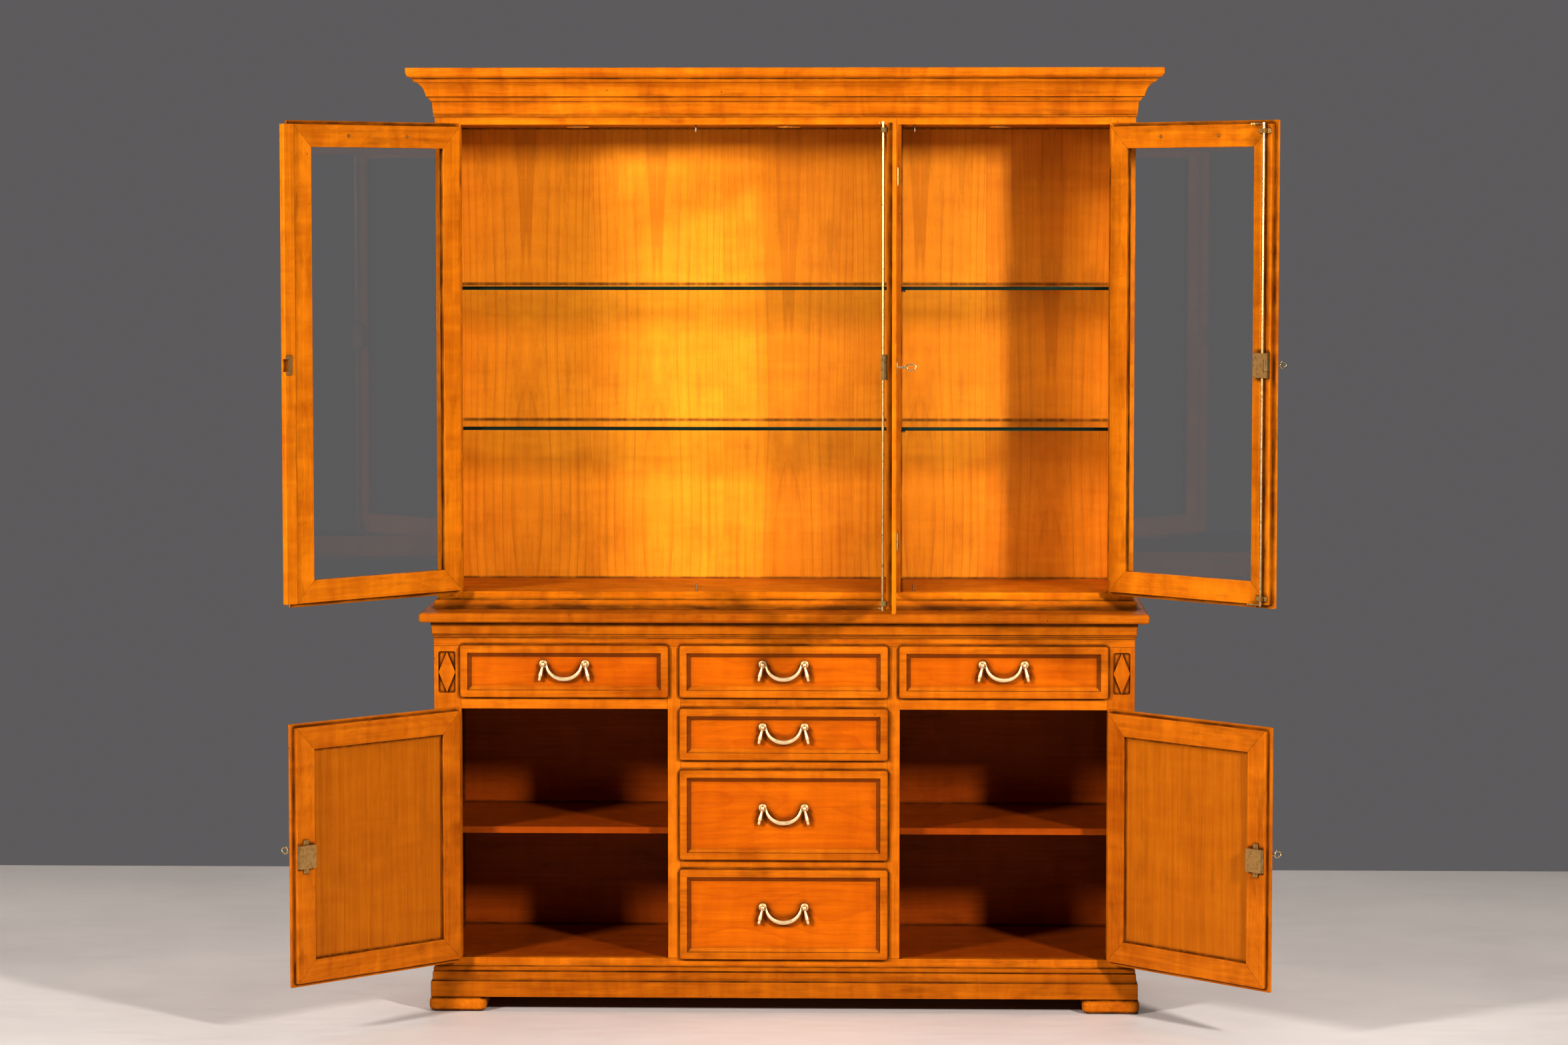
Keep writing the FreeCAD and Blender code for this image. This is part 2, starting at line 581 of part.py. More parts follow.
def make_downlights():
    """Three round lights let into the ceiling: a bezel, a can above it and a glass disc."""
    body = new_body("light_bezel")
    profile = new_sketch(body, "XZ_Plane", "light_bezel_section")
    outline(profile, [(25, 0), (29, 0), (29, -1.2, 0.8), (24, -4, 1.5), (20.5, -2), (20.5, 0), (23.6, 0.8), (23.6, 24),
                      (0, 24), (0, 25.2), (25, 25.2)])
    turn = body.newObject("PartDesign::Revolution", "light_bezel_turn")
    turn.Profile = profile
    turn.ReferenceAxis = (profile, ["V_Axis"])
    turn.Angle = 360
    disc = rod("light_glass", (0, 0, 1.2), 23.2, 3)
    node("downlights", [group(f"light_{i}", [body, disc], (f"light_first + {i} * light_pitch", "light_y",
                                                            "hutch_ceiling")) for i in range(3)])


# ---------------------------------------------------------------------------------------------------------------
# Hinges, keys and locks
# ---------------------------------------------------------------------------------------------------------------

def make_hinge_halves():
    """Barrel hinge about Z: the lower half carries the pin and a stud to the back, the upper half turns on it."""
    lower = fuse("hinge_lower", [
        rod("hinge_barrel_low", (0, 0, -19), 3.8, 18.8), rod("hinge_pin", (0, 0, -1), 1.6, 13),
        rod("hinge_stud_low", (0, 0, -10), 1.8, "axis_front + lip_thick + 9", (0, 1, 0)),
        rod("hinge_tip_low", (0, 0, -21), 2.4, 2.5),
    ])
    blank = fuse("hinge_upper_blank", [
        rod("hinge_barrel_high", (0, 0, 0.2), 3.8, 18.8), rod("hinge_tip_high", (0, 0, 18.5), 2.4, 2.5),
        rod("hinge_stud_high", (0, 0, 10), 1.6, 13, (1, 1, 0)),
    ])
    upper = cut("hinge_upper", blank, [rod("hinge_bore", (0, 0, 0), 1.66, 13)])
    return lower, upper


def make_key():
    """A key along Y: its oval bow stands out in front of the door face at Y 0, its bit is inside the lock."""
    body = new_body("key_bow")
    face = new_sketch(body, "YZ_Plane", "key_bow_face", -1.7)
    for long, high in ((11.6, 8.6), (8.4, 5.4)):
        face.addGeometry(Part.Ellipse(Vector(-31.6 + long, 0), Vector(-31.6, high), Vector(-31.6, 0)))
    ring = pad(body, face, 3.4)
    fillet(body, ring, 1.2, lambda b: True)
    return fuse("key_shape", [
        body, rod("key_shank", (0, "door_thick - 1", 0), 2.2, "door_thick + 19.5", (0, -1, 0)),
        rod("key_collar", (0, -16, 0), 3.2, 2.5, (0, -1, 0)),
        board("key_bit", (-1, "door_thick - 8", -4.6), (2, 6, 4)),
    ])


def escutcheon(name):
    """An oval plate round a keyhole, on the outer face at Y 0."""
    body = new_body(name + "_body")
    face = new_sketch(body, "XZ_Plane", name + "_face")
    face.addGeometry(Part.Ellipse(Vector(0, 20), Vector(10.5, 0), Vector(0, 0)))
    plate = pad(body, face, 2)
    fillet(body, plate, 1.2, lambda b: b.YMax < -1)
    return cut(name, body, [rod(name + "_hole", (0, 1, 0), 2.7, 5, (0, -1, 0)),
                            board(name + "_slot", (-1.2, -4, -8), (2.4, 5, 8))])


# ---------------------------------------------------------------------------------------------------------------
# Doors
# ---------------------------------------------------------------------------------------------------------------
# A door is made closed, with its hinge axis on Z: the door lies on +X when hinged on the left and on -X when hinged
# on the right, its outer face at Y axis_front. The whole door then turns about that axis to where it stands open.

def door_station(axis_x, outer_y, opening, hinged):
    """Position and turn of a door's pieces: hinged is -1 on the left and 1 on the right."""
    return (axis_x, f"{outer_y} - axis_front", 0), f"{hinged} * {opening}"


def door_left(width, hinged):
    """X of the door's left edge from its hinge axis."""
    return D.axis_out if hinged < 0 else -D.axis_out - width


def from_axis(inset_from_free_edge, width, hinged):
    """X, from the hinge axis, of a point this far in from the door's free edge."""
    return -hinged * (D.axis_out + width - inset_from_free_edge)


def hinge_uppers(name, upper, levels, hinged):
    turn = 90 if hinged > 0 else 0
    return [group(f"{name}_hinge_{i}", [upper], (0, 0, level), turn) for i, level in enumerate(levels)]


def edge_holes(name, levels, hinged):
    """Holes in a door's edge for the studs of its hinge halves."""
    return [rod(f"{name}_edge_hole_{i}", (0, 0, level + 10), 1.6, 13, (-hinged, 1, 0))
            for i, level in enumerate(levels)]


def screws(name, spots, face, toward):
    """Round screw heads on a face at this Y, raised toward the inside (1) or the outside (-1)."""
    return [rod(f"{name}_screw_{i}", (x, face, z), 2.6, 1.2, (0, toward, 0)) for i, (x, z) in enumerate(spots)]


def keyhole(name, x, level):
    """The hole through a door member that the key turns in."""
    return rod(name + "_keyhole", (x, -1, level), 5.2, "door_thick + 4", (0, 1, 0))


def make_glass_door(name, at, turn, hinged, width, height, upper, extra_frame=(), extra_fittings=(), cuts=()):
    """Frame, pane and fittings of one glass door."""
    low = D.hutch_floor - D.upper_lap
    left = door_left(width, hinged)
    members = door_members(name, width, height, 9.6, 14.4)
    frame = cut(name + "_cut_members", group(name + "_members", members, (left, "axis_front", low)),
                [*edge_holes(name, UPPER_LEVELS, hinged), *cuts])
    node(name + "_frame", [frame, *extra_frame], at, turn)
    edge = D.member_wide - 6
    pane = board(name + "_pane", (left + edge, "axis_front + 10", low + edge),
                 (width - 2 * edge, "pane_thick", height - 2 * edge))
    node(name + "_glass", [pane], at, turn)
    inner = D.axis_front + D.door_thick
    middle = left + width / 2
    rail = low + height - 33
    dots = screws(name, [(middle - 85, rail), (middle + 85, rail)], inner, 1)
    node(name + "_fittings", hinge_uppers(name, upper, UPPER_LEVELS, hinged) + dots + list(extra_fittings), at, turn)


def rod_lock(name, x_rod, x_key, height, hinged, room):
    """Lock case with its bolt slot, rod guides and escutcheon of a glass door.

    room is how far the fittings may reach from the rod toward the free edge."""
    inner = D.axis_front + D.door_thick
    y_rod = inner + D.rod_off
    mid = D.lock_middle

    def span(label, near, far, y, depth, z, high):
        """A block between two distances from the rod toward the hinge (positive) or the free edge."""
        a, b = x_rod + hinged * near, x_rod + hinged * far
        return board(f"{name}_{label}", (min(a, b), y, z), (abs(b - a), depth, high))

    case = span("case", -4.5, 24, inner, 12.5, mid - 27.5, 55)
    if room > 10:
        case = fuse(name + "_case_blank", [case, span("wing_high", -room, -4, inner, 10, mid + 13, 14.5),
                                           span("wing_low", -room, -4, inner, 10, mid - 27.5, 14.5)])
    case = cut(name + "_case", case, [
        rod(name + "_case_bore", (x_rod, y_rod, mid - 30), 3.5, 60),
        span("tail_slot", -6, 18, inner - 1, 5.2, mid - 12, 24)])
    guides = []
    low = D.hutch_floor - D.upper_lap
    for i, z in enumerate((low + 17, low + height - 29)):
        block = fuse(f"{name}_guide_blank_{i}", [
            span(f"guide_base_{i}", -min(room, 15), 18, inner, 2.2, z, 10),
            span(f"guide_arch_{i}", -5, 5, inner, 12.5, z, 10)])
        bore = rod(f"{name}_guide_bore_{i}", (x_rod, y_rod, z - 1), 3.07, 12)
        guides.append(cut(f"{name}_guide_{i}", block, [bore]))
        spots = [x_rod + hinged * 12] + ([x_rod - hinged * 10] if room > 10 else [])
        guides += screws(f"{name}_guide_{i}", [(x, z + 5) for x in spots], inner + 2.2, 1)
    plate = group(name + "_plate_at", [escutcheon(name + "_plate")], (x_key, "axis_front", mid))
    return [case, plate, *guides]


def make_rod(name, at, turn, hinged, x_rod):
    """Espagnolette rod: a round bar with a claw at each end that swings inward behind its keeper."""
    y_rod = D.axis_front + D.door_thick + D.rod_off
    low = D.hutch_floor + 2.5
    tall = D.hutch_ceiling - D.hutch_floor - 5
    claws = []
    for i, z in enumerate((low + 1.5, low + tall - 4.5)):
        body = new_body(f"{name}_claw_{i}")
        face = new_sketch(body, "XY_Plane", f"{name}_claw_face_{i}")
        reach = D.hook_reach + 3
        outline(face, [(hinged * x, y, r) for x, y, r in (
            (0, -2.2, 0), (reach, -2.2, 1.5), (reach + 0.6, 9.5, 1.2), (reach - 3.8, 9.5, 1.2),
            (reach - 4.6, 2.2, 1.5), (0, 2.2, 0))])
        pad(body, face, 3)
        claws.append(group(f"{name}_claw_at_{i}", [body], (x_rod, y_rod, z)))
    bar = rod(name + "_bar", (x_rod, y_rod, low), D.rod_radius, tall)
    node(name, [fuse(name + "_shape", [bar, *claws])], at, turn)


def make_bolt_and_key(name, at, turn, x_key, key, level, bolt):
    node(name + "_lock_bolt", [bolt], at, turn)
    node(name + "_key", [group(name + "_key_at", [key], (x_key, "axis_front", level))], at, turn)


def make_upper_doors(upper, key):
    height = D.hutch_ceiling - D.hutch_floor + 2 * D.upper_lap
    low = D.hutch_floor - D.upper_lap
    outer = "hutch_front - lip_thick"

    # left door, with the meeting strip that the middle door closes over
    width = D.meeting_x - 1 - (-D.hutch_bay - D.lap)
    at, turn = door_station("-hutch_bay - lap - axis_out", outer, "open_left", -1)
    strip_end = D.axis_out + width + D.strip_reach
    body = new_body("meeting_strip_body")
    plan = new_sketch(body, "XY_Plane", "meeting_strip_plan")
    near = D.axis_front + D.lip_thick
    start = strip_end - D.strip_reach - D.lip_step
    outline(plan, [(start, near), (strip_end, near, 2), (strip_end, near + D.strip_thick, 2.5),
                   (start, near + D.strip_thick, 1)])
    pad(body, plan, f"{height - 2 * D.lip_step}")
    strip_z = low + D.lip_step
    strip = cut("meeting_strip", group("meeting_strip_at", [body], (0, 0, strip_z)), [
        board("strip_mortise", (strip_end - 9, near + D.strip_thick - 7, "lock_middle - 14"), (10, 8, 28))])
    plate = cut("strike_plate", board("strike_blank", (strip_end - 20, near + D.strip_thick, "lock_middle - 21"),
                                      (17, 1.4, 42)),
                [board("strike_notch", (strip_end - 9, near + D.strip_thick - 1, "lock_middle - 13.5"), (10, 4, 27))])
    strike_screws = screws("strike", [(strip_end - 14, D.lock_middle + k * 16.5) for k in (-1, 1)],
                           near + D.strip_thick + 1.4, 1)
    make_glass_door("upper_left_door", at, turn, -1, width, height, upper, [strip], [plate, *strike_screws])

    inner = D.axis_front + D.door_thick
    for name, axis_x, edge, opening, free, rod_inset, key_inset in (
        ("middle_door", "partition_x", D.partition_x - D.axis_out, "open_middle", D.meeting_x + 1,
         D.rod_inset_middle, D.key_inset_middle),
        ("upper_right_door", "hutch_bay + lap + axis_out", D.hutch_bay + D.lap, "open_right",
         D.partition_x + D.axis_out, D.rod_inset, D.key_inset),
    ):
        width = edge - free
        at, turn = door_station(axis_x, outer, opening, 1)
        x_rod = from_axis(rod_inset, width, 1)
        x_key = from_axis(key_inset, width, 1)
        x_plug = from_axis(D.lip_step, width, 1)
        room = x_rod - x_plug
        tail = board(name + "_bolt_tail", (x_rod - 4.4, inner + 0.4, D.lock_middle - 11.5), (18, 3.4, 23))
        bolt = tail
        cuts = [keyhole(name, x_key, "lock_middle")]
        if name == "middle_door":
            # the free edge is cut back on the inside for the left door's meeting strip
            cuts.append(board("middle_rebate", (-D.axis_out - width - 1, near, low - 1),
                              (D.rebate + 1, 20, height + 2)))
            room = rod_inset - D.strip_reach
        else:
            head = board(name + "_bolt_head", (x_plug, inner + 0.4, D.lock_middle - 12.6),
                         (x_rod - 5.2 - x_plug, 9, 25.2))
            bridge = board(name + "_bolt_bridge", (x_rod - 6, inner + 0.4, D.lock_middle - 11.5), (3, 3.4, 23))
            bolt = fuse(name + "_bolt", [head, bridge, tail])
        make_glass_door(name, at, turn, 1, width, height, upper, (), rod_lock(name, x_rod, x_key, height, 1, room),
                        cuts)
        make_rod(name + "_rod", at, turn, 1, x_rod)
        make_bolt_and_key(name, at, turn, x_key, key, D.lock_middle, bolt)


def make_lower_doors(upper, key):
    """Two panelled doors with rim locks."""
    width = D.bay_outer + D.lap - (D.bay_inner - D.free_lap)
    height = D.bay_top - D.bay_floor + 2 * D.lap
    low = D.bay_floor - D.lap
    inner = D.axis_front + D.door_thick
    for name, hinged in (("lower_left_door", -1), ("lower_right_door", 1)):
        sign = "-" if hinged < 0 else ""
        at, turn = door_station(f"{sign}(bay_outer + lap + axis_out)", "base_front - lip_thick", "open_lower", hinged)
        left = door_left(width, hinged)
        members = door_members(name, width, height, 9, 15.4)
        frame = cut(name + "_cut_members", group(name + "_members", members, (left, "axis_front", low)),
                    [keyhole(name, from_axis(D.key_inset, width, hinged), "low_key"),
                     *edge_holes(name, LOWER_LEVELS, hinged)])
        node(name + "_frame", [frame], at, turn)
        node(name + "_panel", [door_panel(name, left, low, width, height)], at, turn)
        free = from_axis(D.lip_step, width, hinged)
        deep_end = free + hinged * D.rim_wide
        x_key = from_axis(D.key_inset, width, hinged)
        bolt_low = D.rim_floor + 15
        slot_x = free - 1 if hinged > 0 else free - 22.4
        case = cut(name + "_rim_lock", board(name + "_rim_blank", (min(free, deep_end), inner, "rim_floor"),
                                             ("rim_wide", "rim_thick", "rim_high")),
                   [board(name + "_bolt_slot", (slot_x, inner + 1.4, bolt_low), (23.4, 6, 20))])
        x_ear = (free + deep_end) / 2
        ears = [board(f"{name}_ear_{i}", (x_ear - 7, inner, z), (14, 2, 11))
                for i, z in enumerate(("rim_floor - 11", "rim_floor + rim_high"))]
        ear_screws = screws(name + "_ear", [(x_ear, D.rim_floor - 5.5), (x_ear, D.rim_floor + D.rim_high + 5.5)],
                            inner + 2, 1)
        plate = group(name + "_plate_at", [escutcheon(name + "_plate")], (x_key, "axis_front", "low_key"))
        node(name + "_fittings", hinge_uppers(name, upper, LOWER_LEVELS, hinged) + [case, plate, *ears, *ear_screws],
             at, turn)
        bolt_x = free if hinged > 0 else free - 22
        bolt = board(name + "_bolt", (bolt_x, inner + 1.6, bolt_low + 0.2), (22, 5.6, 19.6))
        make_bolt_and_key(name, at, turn, x_key, key, D.low_key, bolt)


def door_panel(name, left, low, width, height):
    """A fielded panel held in the members' groove, flat inside."""
    edge = D.member_wide - 6
    body = new_body(name + "_panel_body")
    tongue = new_sketch(body, "XZ_Plane", name + "_panel_tongue", -15)
    wide, high = width - 2 * edge, height - 2 * edge
    outline(tongue, [(0, 0), (wide, 0), (wide, high), (0, high)])
    body.Tip = pad(body, tongue, 5.6)
    inset = 7.5
    field = [new_sketch(body, "XZ_Plane", f"{name}_panel_field_{i}", offset) for i, offset in enumerate((-9.5, -6.5))]
    for sketch, step in zip(field, (inset, inset + 16)):
        outline(sketch, [(step, step), (wide - step, step), (wide - step, high - step), (step, high - step)])
    loft(body, field, ruled=True)
    return group(name + "_panel_at", [body], (left + edge, "axis_front", low + edge))


def make_carcass_hinges(lower):
    """The hinge halves that are screwed into the face frames and the partition."""
    y_upper = "hutch_front - lip_thick - axis_front"
    y_lower = "base_front - lip_thick - axis_front"
    halves = []
    for x, y, levels in (
        ("-hutch_bay - lap - axis_out", y_upper, UPPER_LEVELS), ("partition_x", y_upper, UPPER_LEVELS),
        ("hutch_bay + lap + axis_out", y_upper, UPPER_LEVELS),
        ("-bay_outer - lap - axis_out", y_lower, LOWER_LEVELS),
        ("bay_outer + lap + axis_out", y_lower, LOWER_LEVELS),
    ):
        for level in levels:
            halves.append(group(f"hinge_lower_{len(halves)}", [lower], (x, y, level)))
    node("carcass_hinge_halves", halves)


# ---------------------------------------------------------------------------------------------------------------
# Drawers
# ---------------------------------------------------------------------------------------------------------------
# A drawer is made with the middle of its opening's lower edge at the origin and the face frame's front at Y 0.

def drawer_front(name, high):
    """A lipped front: rounded edge, flat frame, a sloping moulding and a sunk panel."""
    half = D.column_half + D.front_lap
    low, top = -D.front_lap, high + D.front_lap
    body = new_body(name)

    def sunk(sketch, inset, radius=0):
        corners = ((-half + inset, low + inset), (half - inset, low + inset), (half - inset, top - inset),
                   (-half + inset, top - inset))
        outline(sketch, [(*c, radius) for c in corners])
        return sketch

    lip = pad(body, sunk(new_sketch(body, "XZ_Plane", name + "_lip"), 0, 6), "front_thick")
    rounded = fillet(body, lip, 4, lambda b: b.YMax < -D.front_thick + 0.1)
    body.Tip = rounded
    plug = new_sketch(body, "XZ_Plane", name + "_plug")
    rectangle(plug, "-column_half + 2", 2, "2 * column_half - 4", high - 4)
    body.Tip = pad(body, plug, "front_plug", back=True)
    quirk = sunk(new_sketch(body, "XZ_Plane", name + "_quirk", D.front_thick), 17)
    body.Tip = pocket(body, quirk, 1.5)
    slope = [sunk(new_sketch(body, "XZ_Plane", f"{name}_slope_{i}", D.front_thick - depth), inset)
             for i, (depth, inset) in enumerate(((1.5, 17.8), (6, 26.5)))]
    loft(body, slope, "PartDesign::SubtractiveLoft", ruled=True)
    return body


def drawer_box(name, high):
    """Sides, back and bottom behind a drawer front."""
    half = "column_half - box_gap"
    tall = min(high - 18, 150)
    return [
        board(name + "_side_left", (f"-({half})", "front_plug", 2), ("box_side", "box_depth", tall)),
        board(name + "_side_right", (f"{half} - box_side", "front_plug", 2), ("box_side", "box_depth", tall)),
        board(name + "_back", (f"-({half} - box_side)", "front_plug + box_depth - box_side", 2),
              (f"2 * ({half} - box_side)", "box_side", tall)),
        board(name + "_bottom", (f"-({half} - box_side)", "front_plug", 5),
              (f"2 * ({half} - box_side)", "box_depth - box_side", 6)),
    ]


def ellipse_at(body, name, centre, turn, wide, deep):
    """An upright ellipse, wide across the sweep and deep along Y, turned about Y to face along the sweep."""
    sketch = body.newObject("Sketcher::SketchObject", name)
    plane = next(f for f in body.Origin.OriginFeatures if f.Role == "XY_Plane")
    sketch.AttachmentSupport = [(plane, "")]
    sketch.MapMode = "FlatFace"
    sketch.AttachmentOffset = Placement(Vector(*centre), Rotation(Vector(0, 1, 0), turn))
    major, minor = (Vector(wide, 0), Vector(0, deep)) if wide >= deep else (Vector(0, deep), Vector(wide, 0))
    sketch.addGeometry(Part.Ellipse(major, minor, Vector(0, 0)))
    return sketch


PIVOT_Y = -9.0   # the bail's pivot, in front of the drawer's sunk panel at Y 0
PIN_RADIUS = 1.5


def make_pull_posts():
    """Two rosettes with a ball on a neck, each with a tassel hanging from it, bored for the bail's pins."""
    body = new_body("rosette")
    profile = new_sketch(body, "YZ_Plane", "rosette_section")
    outline(profile, [(0, 0), (0, 9.2), (-2.2, 9.2, 1), (-3.4, 7.6, 0.8), (-2.2, 5, 0.8), (-3.4, 4.1, 0.6),
                      (-12.4, 4.1), (-13, 5.2), (-17.6, 5.2, 4.4), (-17.6, 0)])
    turn = body.newObject("PartDesign::Revolution", "rosette_turn")
    turn.Profile = profile
    turn.ReferenceAxis = (profile, ["H_Axis"])
    turn.Angle = 360
    tassel = new_body("tassel")
    drop = new_sketch(tassel, "XZ_Plane", "tassel_section")
    outline(drop, [(0, 1), (2.2, 1), (2.2, -5, 2), (3.4, -11, 5), (5, -23, 8), (5, -27, 1.2), (3.6, -28), (3.6, -30.5),
                   (4.2, -31.5, 0.8), (3.2, -37, 1.5), (0, -37)])
    spin = tassel.newObject("PartDesign::Revolution", "tassel_turn")
    spin.Profile = drop
    spin.ReferenceAxis = (drop, ["V_Axis"])
    spin.Angle = 360
    posts = []
    for side, turned in (("left", 180), ("right", 0)):
        lean = 14 if turned else -14
        hung = group("tassel_" + side, [tassel], (0, -9.6, -2), lean, (0, 1, 0))
        one = fuse("post_blank_" + side, [group("rosette_at_" + side, [body]), hung])
        toward = 1 if turned else -1
        bore = rod("post_bore_" + side, (toward * 1.2, PIVOT_Y, 0), PIN_RADIUS + 0.07, 8, (toward, 0, 0))
        bored = cut("pull_post_" + side, one, [bore])
        posts.append(group(f"pull_post_at_{side}", [bored], (f"{-toward} * pull_half", 0, 0)))
    return posts


def make_bail():
    """The swag: thick and full in the middle, thin at its ends, with a pin at each end."""
    body = new_body("bail_swag")
    count = 11
    reach = D.pull_half - 8.2
    rings = []
    for i in range(count):
        angle = math.pi * (0.035 + 0.93 * i / (count - 1))
        fullness = math.sin(angle)
        centre = (-reach * math.cos(angle), PIVOT_Y - 4 * fullness, -D.pull_drop * fullness)
        heading = math.atan2(-D.pull_drop * math.cos(angle), reach * math.sin(angle))
        rings.append(ellipse_at(body, f"bail_ring_{i}", centre, 90 - math.degrees(heading),
                                1.9 + 3.1 * fullness, 1.8 + 1.7 * fullness))
    loft(body, rings)
    pins = [rod(f"bail_pin_{side}", (f"{side} * (pull_half - 2)", PIVOT_Y, 0), PIN_RADIUS, 6.5, (-side, 0, 0))
            for side in (-1, 1)]
    knobs = []
    for side in (-1, 1):
        knob = doc.addObject("Part::Sphere", f"bail_knob_{'left' if side < 0 else 'right'}")
        knob.Radius = 2.3
        station(knob, (f"{side} * (pull_half - 8.2)", PIVOT_Y, -2.2))
        knobs.append(knob)
    return fuse("bail", [body, *pins, *knobs])


def make_drawers():
    row = D.row_top - D.row_floor
    column = {"high": D.bay_top - D.high_floor, "mid": D.mid_top - D.mid_floor, "low": D.low_top - D.bay_floor}
    side_x = "(bay_outer + bay_inner) / 2"
    drawers = (
        ("drawer_top_left", f"-{side_x}", "row_floor", row), ("drawer_top_middle", "0", "row_floor", row),
        ("drawer_top_right", side_x, "row_floor", row), ("drawer_second", "0", "high_floor", column["high"]),
        ("drawer_third", "0", "mid_floor", column["mid"]), ("drawer_bottom", "0", "bay_floor", column["low"]),
    )
    posts = make_pull_posts()
    bail = make_bail()
    for name, x, z, high in drawers:
        at = (x, "base_front", z)
        node(name, [drawer_front(name + "_front", high), *drawer_box(name, high)], at)
        # the pull hangs a little above the panel's middle
        rise = high / 2 + 17.5
        pull_at = (x, "base_front - front_thick + 6", f"{z} + {rise}")
        node(name + "_pull_posts", posts, pull_at)
        node(name + "_bail", [bail], pull_at)


# ---------------------------------------------------------------------------------------------------------------
# Build, check and write
# ---------------------------------------------------------------------------------------------------------------

def main():
    make_base_frame()
    make_panels()
    make_top_board()
    make_base_trim()
    make_base_shelves()
    make_hutch_frame()
    make_glass_shelves()
    make_pins()
    make_downlights()
    hinge_lower, hinge_upper = make_hinge_halves()
    key = make_key()
    make_carcass_hinges(hinge_lower)
    make_upper_doors(hinge_upper, key)
    make_lower_doors(hinge_upper, key)
    make_drawers()
    doc.recompute()

    for item in doc.Objects:
        if "Invalid" in item.State or "Error" in item.State:
            raise RuntimeError(f"{item.Label} failed: {item.State}")
    for item in nodes:
        if item.Shape.isNull() or not item.Shape.isValid() or not item.Shape.Solids:
            raise RuntimeError(f"{item.Label} has no valid shape")
    os.makedirs("parts", exist_ok=True)
    for item in nodes:
        item.Shape.exportStep(f"parts/{item.Label}.step")
        print(f"{item.Label:34s} {len(item.Shape.Solids):3d} solids {item.Shape.Volume / 1000:10.1f} cm3")
    print(len(nodes), "nodes")


main()
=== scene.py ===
import json
import math
import random

import bpy
import numpy as np
from mathutils import Matrix, Vector

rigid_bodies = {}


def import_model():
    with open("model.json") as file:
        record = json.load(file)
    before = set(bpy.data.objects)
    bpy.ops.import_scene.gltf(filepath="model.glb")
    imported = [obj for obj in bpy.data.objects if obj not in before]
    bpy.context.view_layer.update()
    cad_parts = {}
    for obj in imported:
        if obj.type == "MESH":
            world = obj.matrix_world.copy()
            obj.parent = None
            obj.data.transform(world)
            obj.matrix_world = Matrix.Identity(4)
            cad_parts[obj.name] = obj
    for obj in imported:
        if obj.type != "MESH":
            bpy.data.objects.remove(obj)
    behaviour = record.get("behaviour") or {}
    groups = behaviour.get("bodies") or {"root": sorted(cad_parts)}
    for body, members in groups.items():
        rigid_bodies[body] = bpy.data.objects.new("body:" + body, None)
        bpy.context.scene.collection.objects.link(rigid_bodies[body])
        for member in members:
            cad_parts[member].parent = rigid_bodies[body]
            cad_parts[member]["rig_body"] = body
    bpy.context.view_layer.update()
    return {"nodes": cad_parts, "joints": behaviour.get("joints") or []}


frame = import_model()
NODES = frame["nodes"]
JOINTS = {j["child"]: j for j in frame["joints"]}

BASE_TOP = 0.9            # the upper cabinet stands above this height
SIDE_OUTER = 0.79         # faces further out than this are the outsides of the side panels
STEP_INSET = 0.0165       # how far the cove of a drawer front lies in from its outline
PANEL_DEPTH = 0.0055      # how far its sunk panel lies behind its face
GROOVE_DEPTH = 0.0016     # and the narrow flat before the cove
FACE_DEPTH = 0.0004       # nearer than this to the face is the face itself
FRONT_DEPTH = 0.0070      # further back than this is the reverse of the front

# ------------------------------------------------------------------------------------------------------------
# Grain coordinates: every piece of wood gets its own, along its length, in an attribute that the materials read
# ------------------------------------------------------------------------------------------------------------


def islands(mesh):
    """For each vertex, the number of the separate solid that it belongs to."""
    points = np.empty(len(mesh.vertices) * 3)
    mesh.vertices.foreach_get("co", points)
    points = points.reshape(-1, 3)
    _, same = np.unique(np.round(points, 5), axis=0, return_inverse=True)
    same = same.ravel()
    label = np.arange(same.max() + 1)
    edges = np.empty(len(mesh.edges) * 2, int)
    mesh.edges.foreach_get("vertices", edges)
    ends = same[edges].reshape(-1, 2)
    while True:
        low = np.minimum(label[ends[:, 0]], label[ends[:, 1]])
        fresh = label.copy()
        np.minimum.at(fresh, ends[:, 0], low)
        np.minimum.at(fresh, ends[:, 1], low)
        fresh = fresh[fresh]
        if (fresh == label).all():
            break
        label = fresh
    _, number = np.unique(label[same], return_inverse=True)
    return points, number.ravel()


def door_turn(body):
    """The matrix that closes the door a body belongs to, or the identity."""
    while body in JOINTS:
        joint = JOINTS[body]
        if body.endswith("_door"):
            angle = math.radians(joint["range_deg"][0]) * joint["axis"][2]
            pivot = Vector(joint["pos_m"])
            return Matrix.Rotation(angle, 4, "Z") @ Matrix.Translation(-pivot)
        body = joint["parent"]
    return Matrix.Identity(4)


